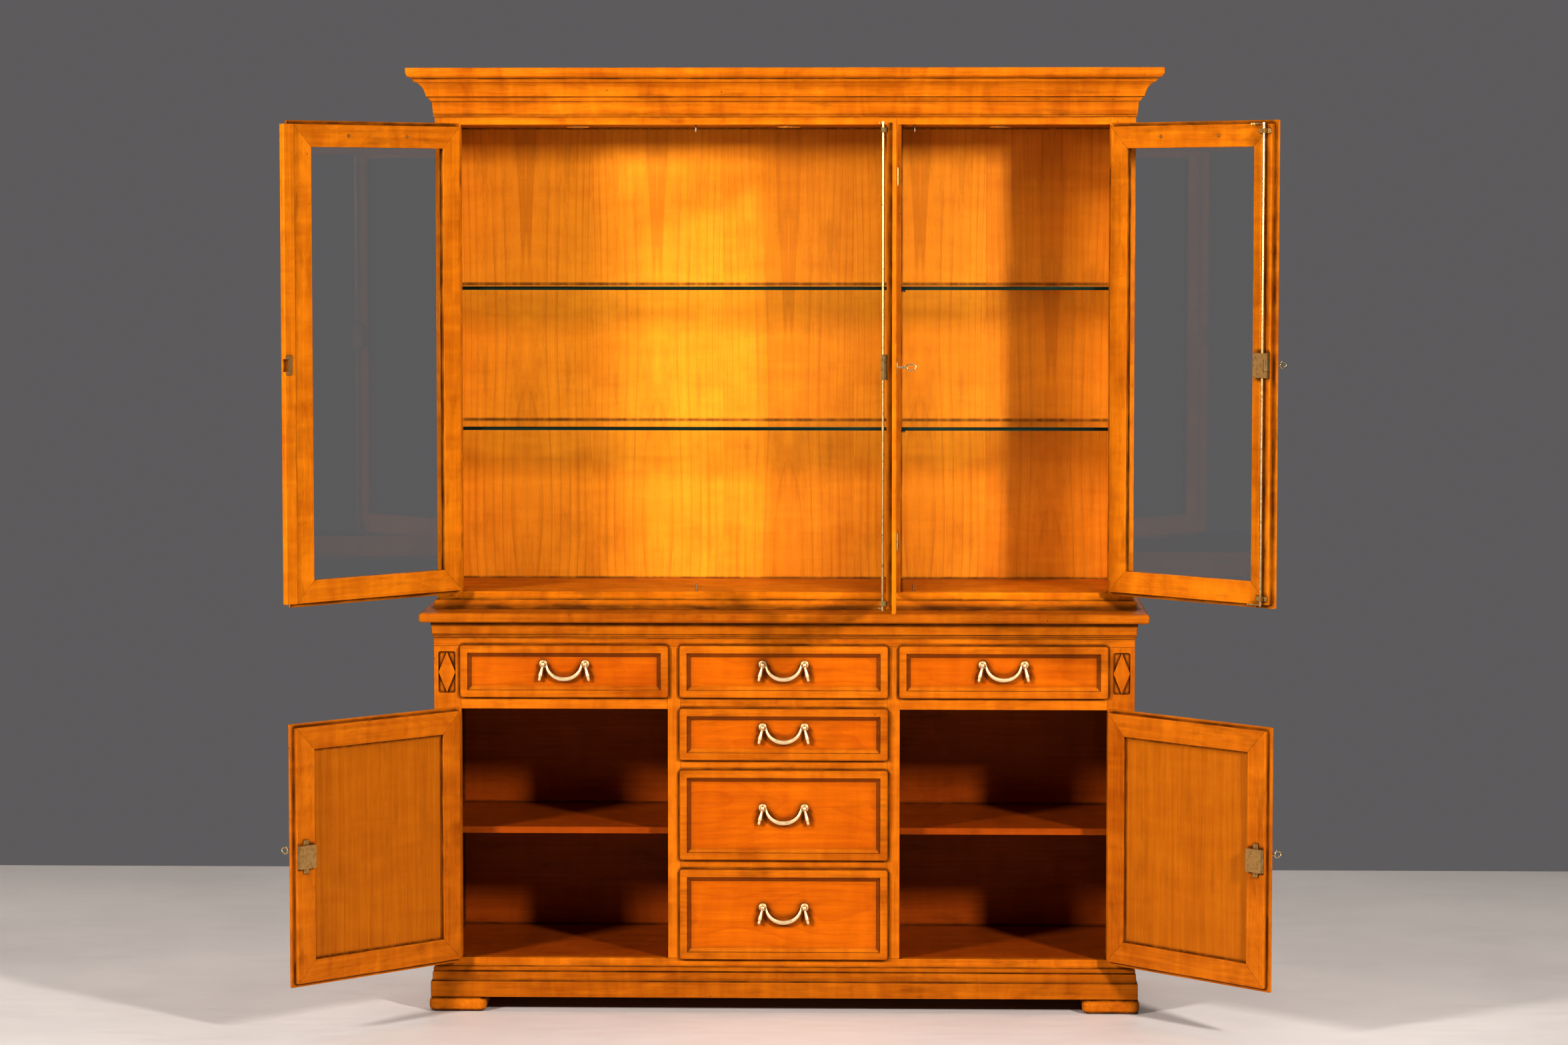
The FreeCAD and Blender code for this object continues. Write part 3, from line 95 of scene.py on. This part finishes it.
def set_grain(node, upright=None):
    """Store the grain coordinates of each solid: x along the grain, y across the face, z through it.

    upright(low, high) may say that a solid's grain runs along Z whatever its length."""
    ob = NODES[node]
    mesh = ob.data
    points, number = islands(mesh)
    close = np.array(door_turn(ob["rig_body"]))
    local = points @ close[:3, :3].T + close[:3, 3]
    draw = random.Random(node)
    grain = np.zeros_like(local)
    tone = np.zeros(len(local))
    boxes = []
    for k in range(number.max() + 1):
        mine = number == k
        part = local[mine]
        low, high = part.min(0), part.max(0)
        order = list(np.argsort(low - high, kind="stable"))
        if upright is not None and upright(low, high):
            order.remove(2)
            order.insert(0, 2)
        shift = np.array([draw.uniform(-9, 9), draw.uniform(-0.04, 0.04), draw.uniform(-0.01, 0.01)])
        middle = (low + high) / 2
        grain[mine] = (part - middle)[:, order] + shift
        tone[mine] = draw.random()
        boxes.append((low, high))
    for name, kind, values in (("grain", "FLOAT_VECTOR", grain), ("tone", "FLOAT", tone)):
        layer = mesh.attributes.new(name, kind, "POINT")
        layer.data.foreach_set("vector" if kind == "FLOAT_VECTOR" else "value", values.astype(np.float32).ravel())
    return number, boxes


def face_islands(mesh, number):
    """For each face, the number of the solid that it belongs to."""
    first = np.array([p.vertices[0] for p in mesh.polygons])
    return number[first]


# ------------------------------------------------------------------------------------------------------------
# Node-tree helper
# ------------------------------------------------------------------------------------------------------------


class Tree:
    """A material's node tree with short calls for the nodes used here."""

    def __init__(self, name):
        self.material = bpy.data.materials.new(name)
        self.material.use_nodes = True
        self.tree = self.material.node_tree
        self.tree.nodes.clear()
        self.out = self.tree.nodes.new("ShaderNodeOutputMaterial")

    def node(self, kind, inputs=(), **props):
        made = self.tree.nodes.new("ShaderNode" + kind)
        for key, value in props.items():
            setattr(made, key, value)
        for key, value in dict(inputs).items():
            self.put(made.inputs[key], value)
        return made

    def put(self, socket, value):
        if isinstance(value, bpy.types.NodeSocket):
            self.tree.links.new(value, socket)
        elif isinstance(value, bpy.types.Node):
            self.tree.links.new(value.outputs[0], socket)
        else:
            socket.default_value = value

    def math(self, operation, a, b=0.0, c=0.0, clamp=False):
        return self.node("Math", {0: a, 1: b, 2: c}, operation=operation, use_clamp=clamp).outputs[0]

    def span(self, value, low, high, out_low=0.0, out_high=1.0, smooth=True):
        made = self.node("MapRange", {"Value": value, "From Min": low, "From Max": high, "To Min": out_low,
                                      "To Max": out_high})
        made.interpolation_type = "SMOOTHSTEP" if smooth else "LINEAR"
        return made.outputs["Result"]

    def mix(self, factor, a, b, blend="MIX"):
        made = self.node("Mix", data_type="RGBA", blend_type=blend)
        self.put(made.inputs["Factor"], factor)
        self.put(made.inputs["A"], a)
        self.put(made.inputs["B"], b)
        return made.outputs["Result"]

    def stretch(self, vector, scale, offset=(0, 0, 0)):
        return self.node("Mapping", {"Vector": vector, "Scale": scale, "Location": offset}).outputs[0]

    def noise(self, vector, scale, detail=3.0, rough=0.55, distort=0.0):
        return self.node("TexNoise", {"Vector": vector, "Scale": scale, "Detail": detail, "Roughness": rough,
                                      "Distortion": distort}).outputs["Fac"]

    def attribute(self, name, output="Vector"):
        return self.node("Attribute", attribute_name=name).outputs[output]

    def surface(self, inputs):
        shader = self.node("BsdfPrincipled", inputs)
        self.tree.links.new(shader.outputs[0], self.out.inputs["Surface"])
        return shader


def rgb(r, g, b):
    """An opaque colour."""
    return (r, g, b, 1.0)


# ------------------------------------------------------------------------------------------------------------
# Wood
# ------------------------------------------------------------------------------------------------------------


def wood(name, light, dark, line, glaze_and_shade_colour, leaf=None, ring_gap=0.0065, ring_mix=0.22, fibre=0.5, figure=0.5,
         specks=1.0, glaze_and_shade_reach=0.008, wear=0.35, rough=0.40, shine=0.16, long_rings=1.0):
    """Lacquered cherry: growth rings, fine fibres, cloudy figure, dark specks, and glaze with painted shade in the
    corners.

    leaf is the width of veneer leaves laid edge to edge, each mirrored on its neighbour."""
    t = Tree(name)
    at = t.attribute("grain")
    tone = t.attribute("tone", "Fac")
    parts = t.node("SeparateXYZ", {0: at})
    along, across, deep = parts.outputs
    if leaf:
        folded = t.math("PINGPONG", across, leaf / 2)
        leaf_number = t.math("FLOOR", t.math("DIVIDE", t.math("ADD", across, leaf / 2), leaf))
        leaf_tone = t.node("TexWhiteNoise", {"W": leaf_number}, noise_dimensions="1D").outputs["Value"]
        centred = t.math("SUBTRACT", folded, leaf * 0.02)
        at = t.node("CombineXYZ", {0: t.math("ADD", along, t.math("MULTIPLY", leaf_tone, 0.35)), 1: centred,
                                   2: deep}).outputs[0]
        across = centred
        tone = leaf_tone
    # growth rings: distance from a pith that wanders below the face, so that its contours run to cathedrals
    sway = t.math("SUBTRACT", t.noise(t.stretch(at, (0.9 * long_rings, 3.0, 3.0)), 1.6, 1.0), 0.5)
    drift = t.math("SUBTRACT", t.noise(t.stretch(at, (2.2 * long_rings, 14.0, 14.0), (3.1, 0.4, 0)), 1.4, 2.0), 0.5)
    y = t.math("ADD", across, t.math("MULTIPLY", sway, 0.05))
    swell = t.noise(t.stretch(at, (1.0 * long_rings, 0.4, 0.4), (7, 0, 0)), 1.5, 1.0)
    rise = t.math("ADD", 0.020, t.math("MULTIPLY", swell, 0.16))
    distance = t.math("SQRT", t.math("ADD", t.math("MULTIPLY", y, y), t.math("MULTIPLY", rise, rise)))
    distance = t.math("ADD", distance, t.math("MULTIPLY", drift, 0.012))
    phase = t.math("FRACT", t.math("DIVIDE", distance, ring_gap))
    late = t.math("POWER", phase, 4.5)
    late = t.math("MULTIPLY", late, t.span(phase, 1.0, 0.93))
    ring_strength = t.span(t.noise(t.stretch(at, (1.5, 12, 12)), 1.5, 2.0), 0.35, 0.65, 0.35, 1.0)
    rings = t.math("MULTIPLY", late, ring_strength)
    # fibres and pores along the grain
    fine = t.noise(t.stretch(at, (14, 700, 700)), 1.0, 3.0, 0.65)
    streak = t.noise(t.stretch(at, (2.6, 110, 110)), 1.0, 3.0, 0.6)
    pore = t.span(t.noise(t.stretch(at, (60, 1500, 1500)), 1.0, 1.0), 0.62, 0.74)
    # cloudy figure, strongest across the grain as rays of light and dark
    cloud = t.noise(t.stretch(at, (5, 11, 11)), 1.0, 3.0, 0.6)
    flame = t.noise(t.stretch(at, (30, 7, 7), (0, 5, 0)), 1.0, 2.0, 0.5, 0.6)
    shade = t.math("ADD", t.math("MULTIPLY", t.math("SUBTRACT", cloud, 0.5), 2.0 * figure),
                   t.math("MULTIPLY", t.math("SUBTRACT", flame, 0.5), 1.4 * figure))
    shade = t.math("ADD", shade, t.math("MULTIPLY", t.math("SUBTRACT", streak, 0.5), 1.8 * fibre))
    shade = t.math("ADD", shade, t.math("MULTIPLY", t.math("SUBTRACT", fine, 0.5), 1.2 * fibre))
    shade = t.math("ADD", shade, t.math("MULTIPLY", t.math("SUBTRACT", tone, 0.5), 0.30))
    colour = t.mix(t.math("ADD", shade, 0.42, clamp=True), rgb(*light), rgb(*dark))
    colour = t.mix(t.math("MULTIPLY", rings, ring_mix), colour, rgb(*line))
    colour = t.mix(t.math("MULTIPLY", pore, 0.28), colour, rgb(*line))
    # distressing: small dark marks, a few of them dashes
    grid = t.node("TexVoronoi", {"Vector": at, "Scale": 46.0, "Randomness": 1.0})
    chance = t.node("SeparateColor", {0: grid.outputs["Color"]}).outputs[0]
    radius = t.span(chance, 0.80, 1.0, 0.0, 0.085, False)
    dot = t.math("LESS_THAN", grid.outputs["Distance"], radius)
    dash_grid = t.node("TexVoronoi", {"Vector": t.stretch(at, (0.3, 1.4, 1.4), (2, 0, 0)), "Scale": 30.0,
                                      "Randomness": 1.0})
    dash_chance = t.node("SeparateColor", {0: dash_grid.outputs["Color"]}).outputs[1]
    dash = t.math("LESS_THAN", dash_grid.outputs["Distance"], t.span(dash_chance, 0.94, 1.0, 0.0, 0.07, False))
    marks = t.math("MULTIPLY", t.math("MAXIMUM", dot, dash), 0.72 * specks)
    # soft brown patches where the stain took up more
    patch = t.span(t.noise(t.stretch(at, (7, 26, 26), (1, 2, 3)), 1.0, 4.0, 0.62), 0.54, 0.72)
    colour = t.mix(t.math("MULTIPLY", patch, 0.45 * figure), colour, rgb(*glaze_and_shade_colour))
    colour = t.mix(marks, colour, rgb(*glaze_and_shade_colour))
    # glaze and painted shade in the corners, darkened by occlusion; worn and lighter on the arrises
    corner = t.node("AmbientOcclusion", {"Distance": glaze_and_shade_reach}, samples=4)
    glaze_and_shade_mask = t.span(corner.outputs["AO"], 0.97, 0.72)
    glaze_and_shade_mask = t.math("MULTIPLY", glaze_and_shade_mask, t.span(t.noise(t.stretch(at, (16, 60, 60)), 1.0, 2.0), 0.25, 0.7, 0.55, 1.0))
    colour = t.mix(t.math("MULTIPLY", glaze_and_shade_mask, 0.92), colour, rgb(*glaze_and_shade_colour))
    soft = t.node("Bevel", {"Radius": 0.0016}, samples=2)
    true_normal = t.node("NewGeometry").outputs["Normal"]
    facing = t.node("VectorMath", {0: soft.outputs[0], 1: true_normal}, operation="DOT_PRODUCT").outputs["Value"]
    arris = t.math("MULTIPLY", t.span(facing, 0.995, 0.88), t.math("SUBTRACT", 1.0, glaze_and_shade_mask, clamp=True))
    rubbed = t.span(t.noise(t.stretch(at, (22, 80, 80), (4, 0, 0)), 1.0, 3.0), 0.38, 0.62)
    colour = t.mix(t.math("MULTIPLY", t.math("MULTIPLY", arris, rubbed), wear), colour,
                   rgb(*[min(1.0, c * 1.35 + 0.02) for c in light]))
    dark_edge = t.math("MULTIPLY", arris, t.span(rubbed, 0.35, 0.0))
    colour = t.mix(t.math("MULTIPLY", dark_edge, 0.5), colour, rgb(*glaze_and_shade_colour))
    height = t.math("SUBTRACT", t.math("MULTIPLY", fine, 0.5), t.math("MULTIPLY", pore, 0.6))
    height = t.math("SUBTRACT", height, t.math("MULTIPLY", marks, 1.6))
    height = t.math("SUBTRACT", height, t.math("MULTIPLY", rings, 0.3))
    bump = t.node("Bump", {"Strength": 0.16, "Distance": 0.0006, "Height": height, "Normal": soft.outputs[0]})
    gloss = t.span(t.noise(t.stretch(at, (8, 20, 20)), 1.0, 3.0), 0.3, 0.7, rough - 0.05, rough + 0.07)
    gloss = t.math("ADD", gloss, t.math("MULTIPLY", glaze_and_shade_mask, 0.15))
    t.surface({"Base Color": colour, "Roughness": gloss, "Normal": bump, "Specular IOR Level": shine, "IOR": 1.45,
               "Specular Tint": rgb(1.0, 0.62, 0.25)})
    return t.material


CHERRY = wood("cherry", (0.53, 0.160, 0.005), (0.27, 0.058, 0.0012), (0.19, 0.032, 0.001), (0.040, 0.009, 0.001),
              ring_mix=0.22, figure=0.62)
# a brighter copy of the cherry for the upper cabinet: painted light
CHERRY_PAINTED_LIGHT = wood("cherry_upper_painted_light", (0.63, 0.205, 0.005), (0.32, 0.075, 0.0012), (0.21, 0.036, 0.001),
             (0.040, 0.009, 0.001), ring_mix=0.22, figure=0.62, glaze_and_shade_reach=0.012)
# a darker copy of the cherry for the base's top board, waist mouldings and plinth: painted shade
CHERRY_PAINTED_SHADE = wood("cherry_moulded_painted_shade", (0.46, 0.138, 0.004), (0.22, 0.048, 0.001), (0.16, 0.028, 0.001),
               (0.030, 0.007, 0.001), ring_mix=0.22, figure=0.62, glaze_and_shade_reach=0.016)
PANEL = wood("cherry_panel", (0.54, 0.138, 0.002), (0.33, 0.062, 0.0008), (0.28, 0.042, 0.001),
             (0.045, 0.009, 0.001), ring_gap=0.010, ring_mix=0.45, figure=0.35, specks=0.5, glaze_and_shade_reach=0.018)
VENEER = wood("cherry_veneer", (0.76, 0.300, 0.016), (0.46, 0.120, 0.003), (0.26, 0.050, 0.001),
              (0.08, 0.016, 0.001), leaf=0.312, ring_gap=0.0125, ring_mix=0.42, fibre=0.35, figure=0.34, specks=0.1,
              glaze_and_shade_reach=0.006, wear=0.1, rough=0.42, shine=0.5, long_rings=0.45)
QUARTERED = wood("cherry_quartered", (0.45, 0.142, 0.005), (0.27, 0.066, 0.002), (0.22, 0.040, 0.001),
                 (0.07, 0.014, 0.001), ring_gap=0.0042, ring_mix=0.16, fibre=0.6, figure=0.3, specks=0.35,
                 long_rings=0.5)
INSIDE = wood("cherry_inside", (0.33, 0.066, 0.003), (0.19, 0.030, 0.0012), (0.13, 0.016, 0.0006),
              (0.035, 0.006, 0.0008), ring_gap=0.0095, ring_mix=0.3, figure=0.5, specks=0.3, long_rings=0.6)
# a dark copy of the cherry that paints shade on the drawer fronts' coves
COVE_PAINTED_SHADE = wood("cherry_cove_painted_shade", (0.22, 0.050, 0.002), (0.10, 0.020, 0.001), (0.06, 0.010, 0.001),
              (0.030, 0.006, 0.001), figure=0.5)
PALE = wood("pale_birch", (0.66, 0.44, 0.22), (0.50, 0.31, 0.14), (0.40, 0.24, 0.10), (0.20, 0.11, 0.05),
            figure=0.3, specks=0.1, wear=0.1, rough=0.5)


# ------------------------------------------------------------------------------------------------------------
# Metal and glass
# ------------------------------------------------------------------------------------------------------------


def metal(name, bright, tarnish, amount, rough, brushed=False):
    """Metal with tarnish in its recesses and in cloudy patches, rubbed bright on the raised parts."""
    t = Tree(name)
    at = t.node("TexCoord").outputs["Object"]
    cloud = t.noise(at, 130.0, 4.0, 0.6)
    grit = t.noise(t.stretch(at, (1, 1, 0.12)) if brushed else at, 2080.0, 2.0, 0.6)
    corner = t.node("AmbientOcclusion", {"Distance": 0.003}, samples=3)
    recess = t.span(corner.outputs["AO"], 0.92, 0.35)
    cover = t.math("ADD", t.math("MULTIPLY", recess, 0.9),
                   t.span(cloud, 0.42, 0.72, 0.0, amount), clamp=True)
    colour = t.mix(cover, rgb(*bright), rgb(*tarnish))
    colour = t.mix(t.math("MULTIPLY", grit, 0.14), colour, rgb(*tarnish))
    soft = t.node("Bevel", {"Radius": 0.0006}, samples=2)
    bump = t.node("Bump", {"Strength": 0.12, "Distance": 0.0002, "Height": grit, "Normal": soft.outputs[0]})
    gloss = t.math("ADD", t.span(cloud, 0.3, 0.7, rough - 0.05, rough + 0.08), t.math("MULTIPLY", recess, 0.18))
    t.surface({"Base Color": colour, "Metallic": 1.0, "Roughness": gloss, "Normal": bump})
    return t.material


PULL_BRASS = metal("pull_brass", (0.86, 0.70, 0.42), (0.34, 0.22, 0.10), 0.15, 0.40)
LOCK_BRASS = metal("lock_brass", (0.60, 0.40, 0.15), (0.12, 0.07, 0.03), 0.45, 0.34)
ROD_BRASS = metal("rod_brass", (0.66, 0.49, 0.24), (0.20, 0.11, 0.04), 0.35, 0.30, brushed=True)
KEY_BRASS = metal("key_brass", (0.76, 0.60, 0.33), (0.22, 0.14, 0.06), 0.25, 0.26)
PIN = metal("dark_pin", (0.30, 0.24, 0.17), (0.08, 0.06, 0.04), 0.5, 0.4)


def glass(name, tint, shadow=0.92, index=1.5):
    """Clear glass, faintly smeared, that lets lamp light through to what is behind it."""
    t = Tree(name)
    at = t.node("TexCoord").outputs["Object"]
    smear = t.noise(at, 7.0, 4.0, 0.6)
    shader = t.node("BsdfPrincipled", {
        "Base Color": rgb(*tint), "Transmission Weight": 1.0, "IOR": index,
        "Roughness": t.span(smear, 0.45, 0.85, 0.0, 0.02)})
    clear = t.node("BsdfTransparent", {"Color": rgb(*[c * shadow for c in tint])})
    ray = t.node("LightPath").outputs["Is Shadow Ray"]
    mixed = t.node("MixShader", {0: ray, 1: shader, 2: clear})
    t.tree.links.new(mixed.outputs[0], t.out.inputs["Surface"])
    return t.material


PANE = glass("door_glass", (0.965, 0.98, 0.98), index=1.32)
SHELF = glass("shelf_glass", (0.90, 0.965, 0.93), shadow=0.80)


def glass_edge():
    """The ground edge of a thick pane: dark green with a paler line along it."""
    t = Tree("glass_edge")
    at = t.node("TexCoord").outputs["Object"]
    stripe = t.noise(t.stretch(at, (3, 3, 420)), 1.0, 2.0)
    colour = t.mix(t.span(stripe, 0.4, 0.62), rgb(0.0015, 0.006, 0.004), rgb(0.006, 0.028, 0.018))
    t.surface({"Base Color": colour, "Roughness": 0.3, "Specular IOR Level": 0.15})
    return t.material


def lens():
    """The rippled glass disc of a downlight."""
    t = Tree("light_lens")
    ripple = t.noise(t.node("TexCoord").outputs["Object"], 900.0, 1.0)
    bump = t.node("Bump", {"Strength": 0.4, "Distance": 0.0004, "Height": ripple})
    t.surface({"Base Color": rgb(0.80, 0.78, 0.72), "Roughness": 0.35, "Normal": bump, "Coat Weight": 0.4,
               "Coat Roughness": 0.1})
    return t.material


GLASS_EDGE = glass_edge()
LENS = lens()

# ------------------------------------------------------------------------------------------------------------
# Which material each node, or each solid of a node, takes
# ------------------------------------------------------------------------------------------------------------


def dress(node, materials, choose=None):
    """Give a CAD node its materials; choose(face, solid, boxes) says which of them a face takes."""
    ob = NODES[node]
    mesh = ob.data
    number, boxes = GRAIN[node]
    mesh.materials.clear()
    for material in materials:
        mesh.materials.append(material)
    if choose:
        of_face = face_islands(mesh, number)
        index = [choose(face, int(k), boxes) for face, k in zip(mesh.polygons, of_face)]
        mesh.polygons.foreach_set("material_index", index)


def standing(low, high):
    """The grain of every solid runs up."""
    return True


def hutch_back_stands(low, high):
    """The grain runs up in the upper cabinet only."""
    return low[2] > BASE_TOP


UPRIGHT = {"side_panels": standing, "back_panels": hutch_back_stands}
GRAIN = {node: set_grain(node, UPRIGHT.get(node)) for node in sorted(NODES)}


def is_box_wood(face, solid, boxes):
    """1 for the faces of a drawer's box, 0 for its front."""
    low, high = boxes[solid]
    widest = max(b[1][0] - b[0][0] for b in boxes)
    return 0 if high[0] - low[0] > widest - 0.01 else 1


def is_front_panel(face, solid, boxes):
    """0 for a drawer front's frame, 2 for its sunk panel, 3 for painted shade on the cove round it (its lower side,
    facing up, is 0) and 1 for the box behind.
    """
    low, high = boxes[solid]
    if is_box_wood(face, solid, boxes):
        return 1
    at, depth = face.center, face.center.y - low[1]
    inset = min(at.x - low[0], high[0] - at.x, at.z - low[2], high[2] - at.z)
    if inset < STEP_INSET or not FACE_DEPTH <= depth <= FRONT_DEPTH:
        return 0
    if depth > PANEL_DEPTH and face.normal.y < -0.9:
        return 2
    # painted shade: the coves facing down and sideways take the dark copy, while the lower cove, facing up, keeps the
    # frame's colour
    lower_cove = face.normal.z > 0.3 and depth > GROOVE_DEPTH
    return 0 if lower_cove else 3


def is_edge(face, solid, boxes):
    """1 for the narrow edges of a shelf, 0 for its top and underside."""
    return 0 if abs(face.normal.z) > 0.7 else 1


def is_lens(face, solid, boxes):
    """A downlight's glass disc is the flatter of its two solids."""
    low, high = boxes[solid]
    return 1 if high[2] - low[2] < 0.01 else 0


for name in NODES:
    if name.startswith("drawer") and name.endswith("_bail") or name.endswith("_pull_posts"):
        dress(name, [PULL_BRASS])
    elif name.startswith("drawer"):
        dress(name, [CHERRY, PALE, PANEL, COVE_PAINTED_SHADE], is_front_panel)
    elif name.endswith("_glass"):
        dress(name, [PANE])
    elif name.endswith("_panel"):
        dress(name, [QUARTERED])
    elif name.endswith("_fittings") or name == "carcass_hinge_halves":
        dress(name, [LOCK_BRASS])
    elif name.endswith("_rod") or name.endswith("_lock_bolt"):
        dress(name, [ROD_BRASS])
    elif name.endswith("_key"):
        dress(name, [KEY_BRASS])


def is_below(face, solid, boxes):
    """1 for the solids inside the base, 0 for those of the upper cabinet."""
    return 1 if boxes[solid][0][2] < BASE_TOP else 0


def back_face(face, solid, boxes):
    """0 for the front of the upper back, 1 for the base's back and for everything seen from behind."""
    return 1 if face.normal.y > 0.5 else is_below(face, solid, boxes)


def side_face(face, solid, boxes):
    """0 for the outer faces of the sides, then 1 inside the base and 2 inside the upper cabinet."""
    if abs(face.center.x) > SIDE_OUTER:
        return 0
    return 1 + (boxes[solid][0][2] > BASE_TOP)


dress("back_panels", [VENEER, INSIDE], back_face)
dress("side_panels", [CHERRY, INSIDE, VENEER], side_face)
dress("partitions_and_runners", [CHERRY, INSIDE], is_below)
dress("floor_boards", [CHERRY, INSIDE], is_below)
dress("base_shelves", [INSIDE])
dress("glass_shelves", [SHELF, GLASS_EDGE], is_edge)
dress("downlights", [KEY_BRASS, LENS], is_lens)
dress("shelf_pins_and_rod_keepers", [PIN])
for name in ("base_face_frame", "feet", "hutch_ceiling_board", "lower_left_door_frame", "lower_right_door_frame"):
    dress(name, [CHERRY])
# the base's top board, waist mouldings and plinth take the darker copy of the cherry, painted shade
for name in ("base_top_board", "waist_mouldings", "base_plinth"):
    dress(name, [CHERRY_PAINTED_SHADE])
# the upper cabinet's frames, cornice and doors take the brighter copy of the cherry, painted light
for name in ("hutch_face_frame", "cornice", "upper_left_door_frame", "middle_door_frame", "upper_right_door_frame"):
    dress(name, [CHERRY_PAINTED_LIGHT])


# ------------------------------------------------------------------------------------------------------------
# Floor, light and camera
# ------------------------------------------------------------------------------------------------------------


WARM = (1.0, 0.94, 0.88)


def make_floor():
    """A pale studio floor that ends a little way behind the cabinet."""
    near, far, half = -16.0, 2.13, 14.0
    mesh = bpy.data.meshes.new("floor")
    mesh.from_pydata([(-half, near, 0), (half, near, 0), (half, far, 0), (-half, far, 0)], [], [(0, 1, 2, 3)])
    floor = bpy.data.objects.new("floor", mesh)
    bpy.context.collection.objects.link(floor)
    t = Tree("studio_floor")
    at = t.node("TexCoord").outputs["Object"]
    cloud = t.noise(at, 1.1, 5.0, 0.6)
    scuff = t.noise(t.stretch(at, (3, 14, 1)), 2.0, 5.0, 0.7)
    colour = t.mix(t.span(cloud, 0.3, 0.7), rgb(0.60, 0.575, 0.57), rgb(0.68, 0.655, 0.65))
    colour = t.mix(t.math("MULTIPLY", t.span(scuff, 0.58, 0.8), 0.3), colour, rgb(0.60, 0.59, 0.58))
    t.surface({"Base Color": colour, "Roughness": t.span(scuff, 0.3, 0.7, 0.42, 0.6)})
    mesh.materials.append(t.material)


def area_light(name, place, aim, size, power, spread=180):
    """A warm rectangular lamp at a place, aimed at a point; it doesn't show in the picture itself."""
    data = bpy.data.lights.new(name, "AREA")
    data.shape = "RECTANGLE"
    data.size, data.size_y = size
    data.energy = power
    data.color = WARM
    data.spread = math.radians(spread)
    light = bpy.data.objects.new(name, data)
    bpy.context.collection.objects.link(light)
    light.location = place
    light.rotation_euler = (Vector(aim) - Vector(place)).to_track_quat("-Z", "Y").to_euler()
    light.visible_camera = False


def make_world():
    """A grey backdrop for the camera and reflections, and a weaker fill for soft light."""
    world = bpy.data.worlds.new("studio")
    bpy.context.scene.world = world
    world.use_nodes = True
    tree = world.node_tree
    seen = tree.nodes["Background"]
    seen.inputs["Color"].default_value = (0.150, 0.145, 0.149, 1)
    fill = tree.nodes.new("ShaderNodeBackground")
    fill.inputs["Color"].default_value = (0.011, 0.0105, 0.0105, 1)
    path = tree.nodes.new("ShaderNodeLightPath")
    both = tree.nodes.new("ShaderNodeMixShader")
    tree.links.new(path.outputs["Is Diffuse Ray"], both.inputs[0])
    tree.links.new(seen.outputs[0], both.inputs[1])
    tree.links.new(fill.outputs[0], both.inputs[2])
    tree.links.new(both.outputs[0], tree.nodes["World Output"].inputs["Surface"])


def make_camera():
    """The camera at the eye that shows the cabinet from the front, a little from above."""
    data = bpy.data.cameras.new("camera")
    data.lens = 98.1
    data.sensor_width = 36.0
    data.shift_y = -0.004
    data.clip_end = 100
    camera = bpy.data.objects.new("camera", data)
    bpy.context.collection.objects.link(camera)
    yaw, pitch = -0.0262, -0.0714
    ahead = Vector((math.sin(yaw) * math.cos(pitch), math.cos(yaw) * math.cos(pitch), math.sin(pitch)))
    camera.location = (0.2549, -9.720, 1.8358)
    camera.rotation_euler = ahead.to_track_quat("-Z", "Y").to_euler()
    bpy.context.scene.camera = camera


make_floor()
make_world()
area_light("key_left", (-4.2, -4.5, 2.82), (0.0, 0.2, 1.2), (0.8, 0.8), 490)
area_light("key_right", (3.3, -4.5, 2.82), (0.0, 0.2, 1.2), (0.4, 0.7), 400)
area_light("floor_light", (0.0, 0.5, 5.4), (0.0, 0.5, 0.0), (6.5, 3.6), 42, spread=80)
area_light("back_light", (0.0, 5.0, 3.6), (0.0, 0.4, 1.2), (3.0, 1.2), 48)
make_camera()
view = bpy.context.scene.view_settings
view.view_transform = "Standard"
view.look = "None"
view.exposure = 0.0
view.gamma = 0.85
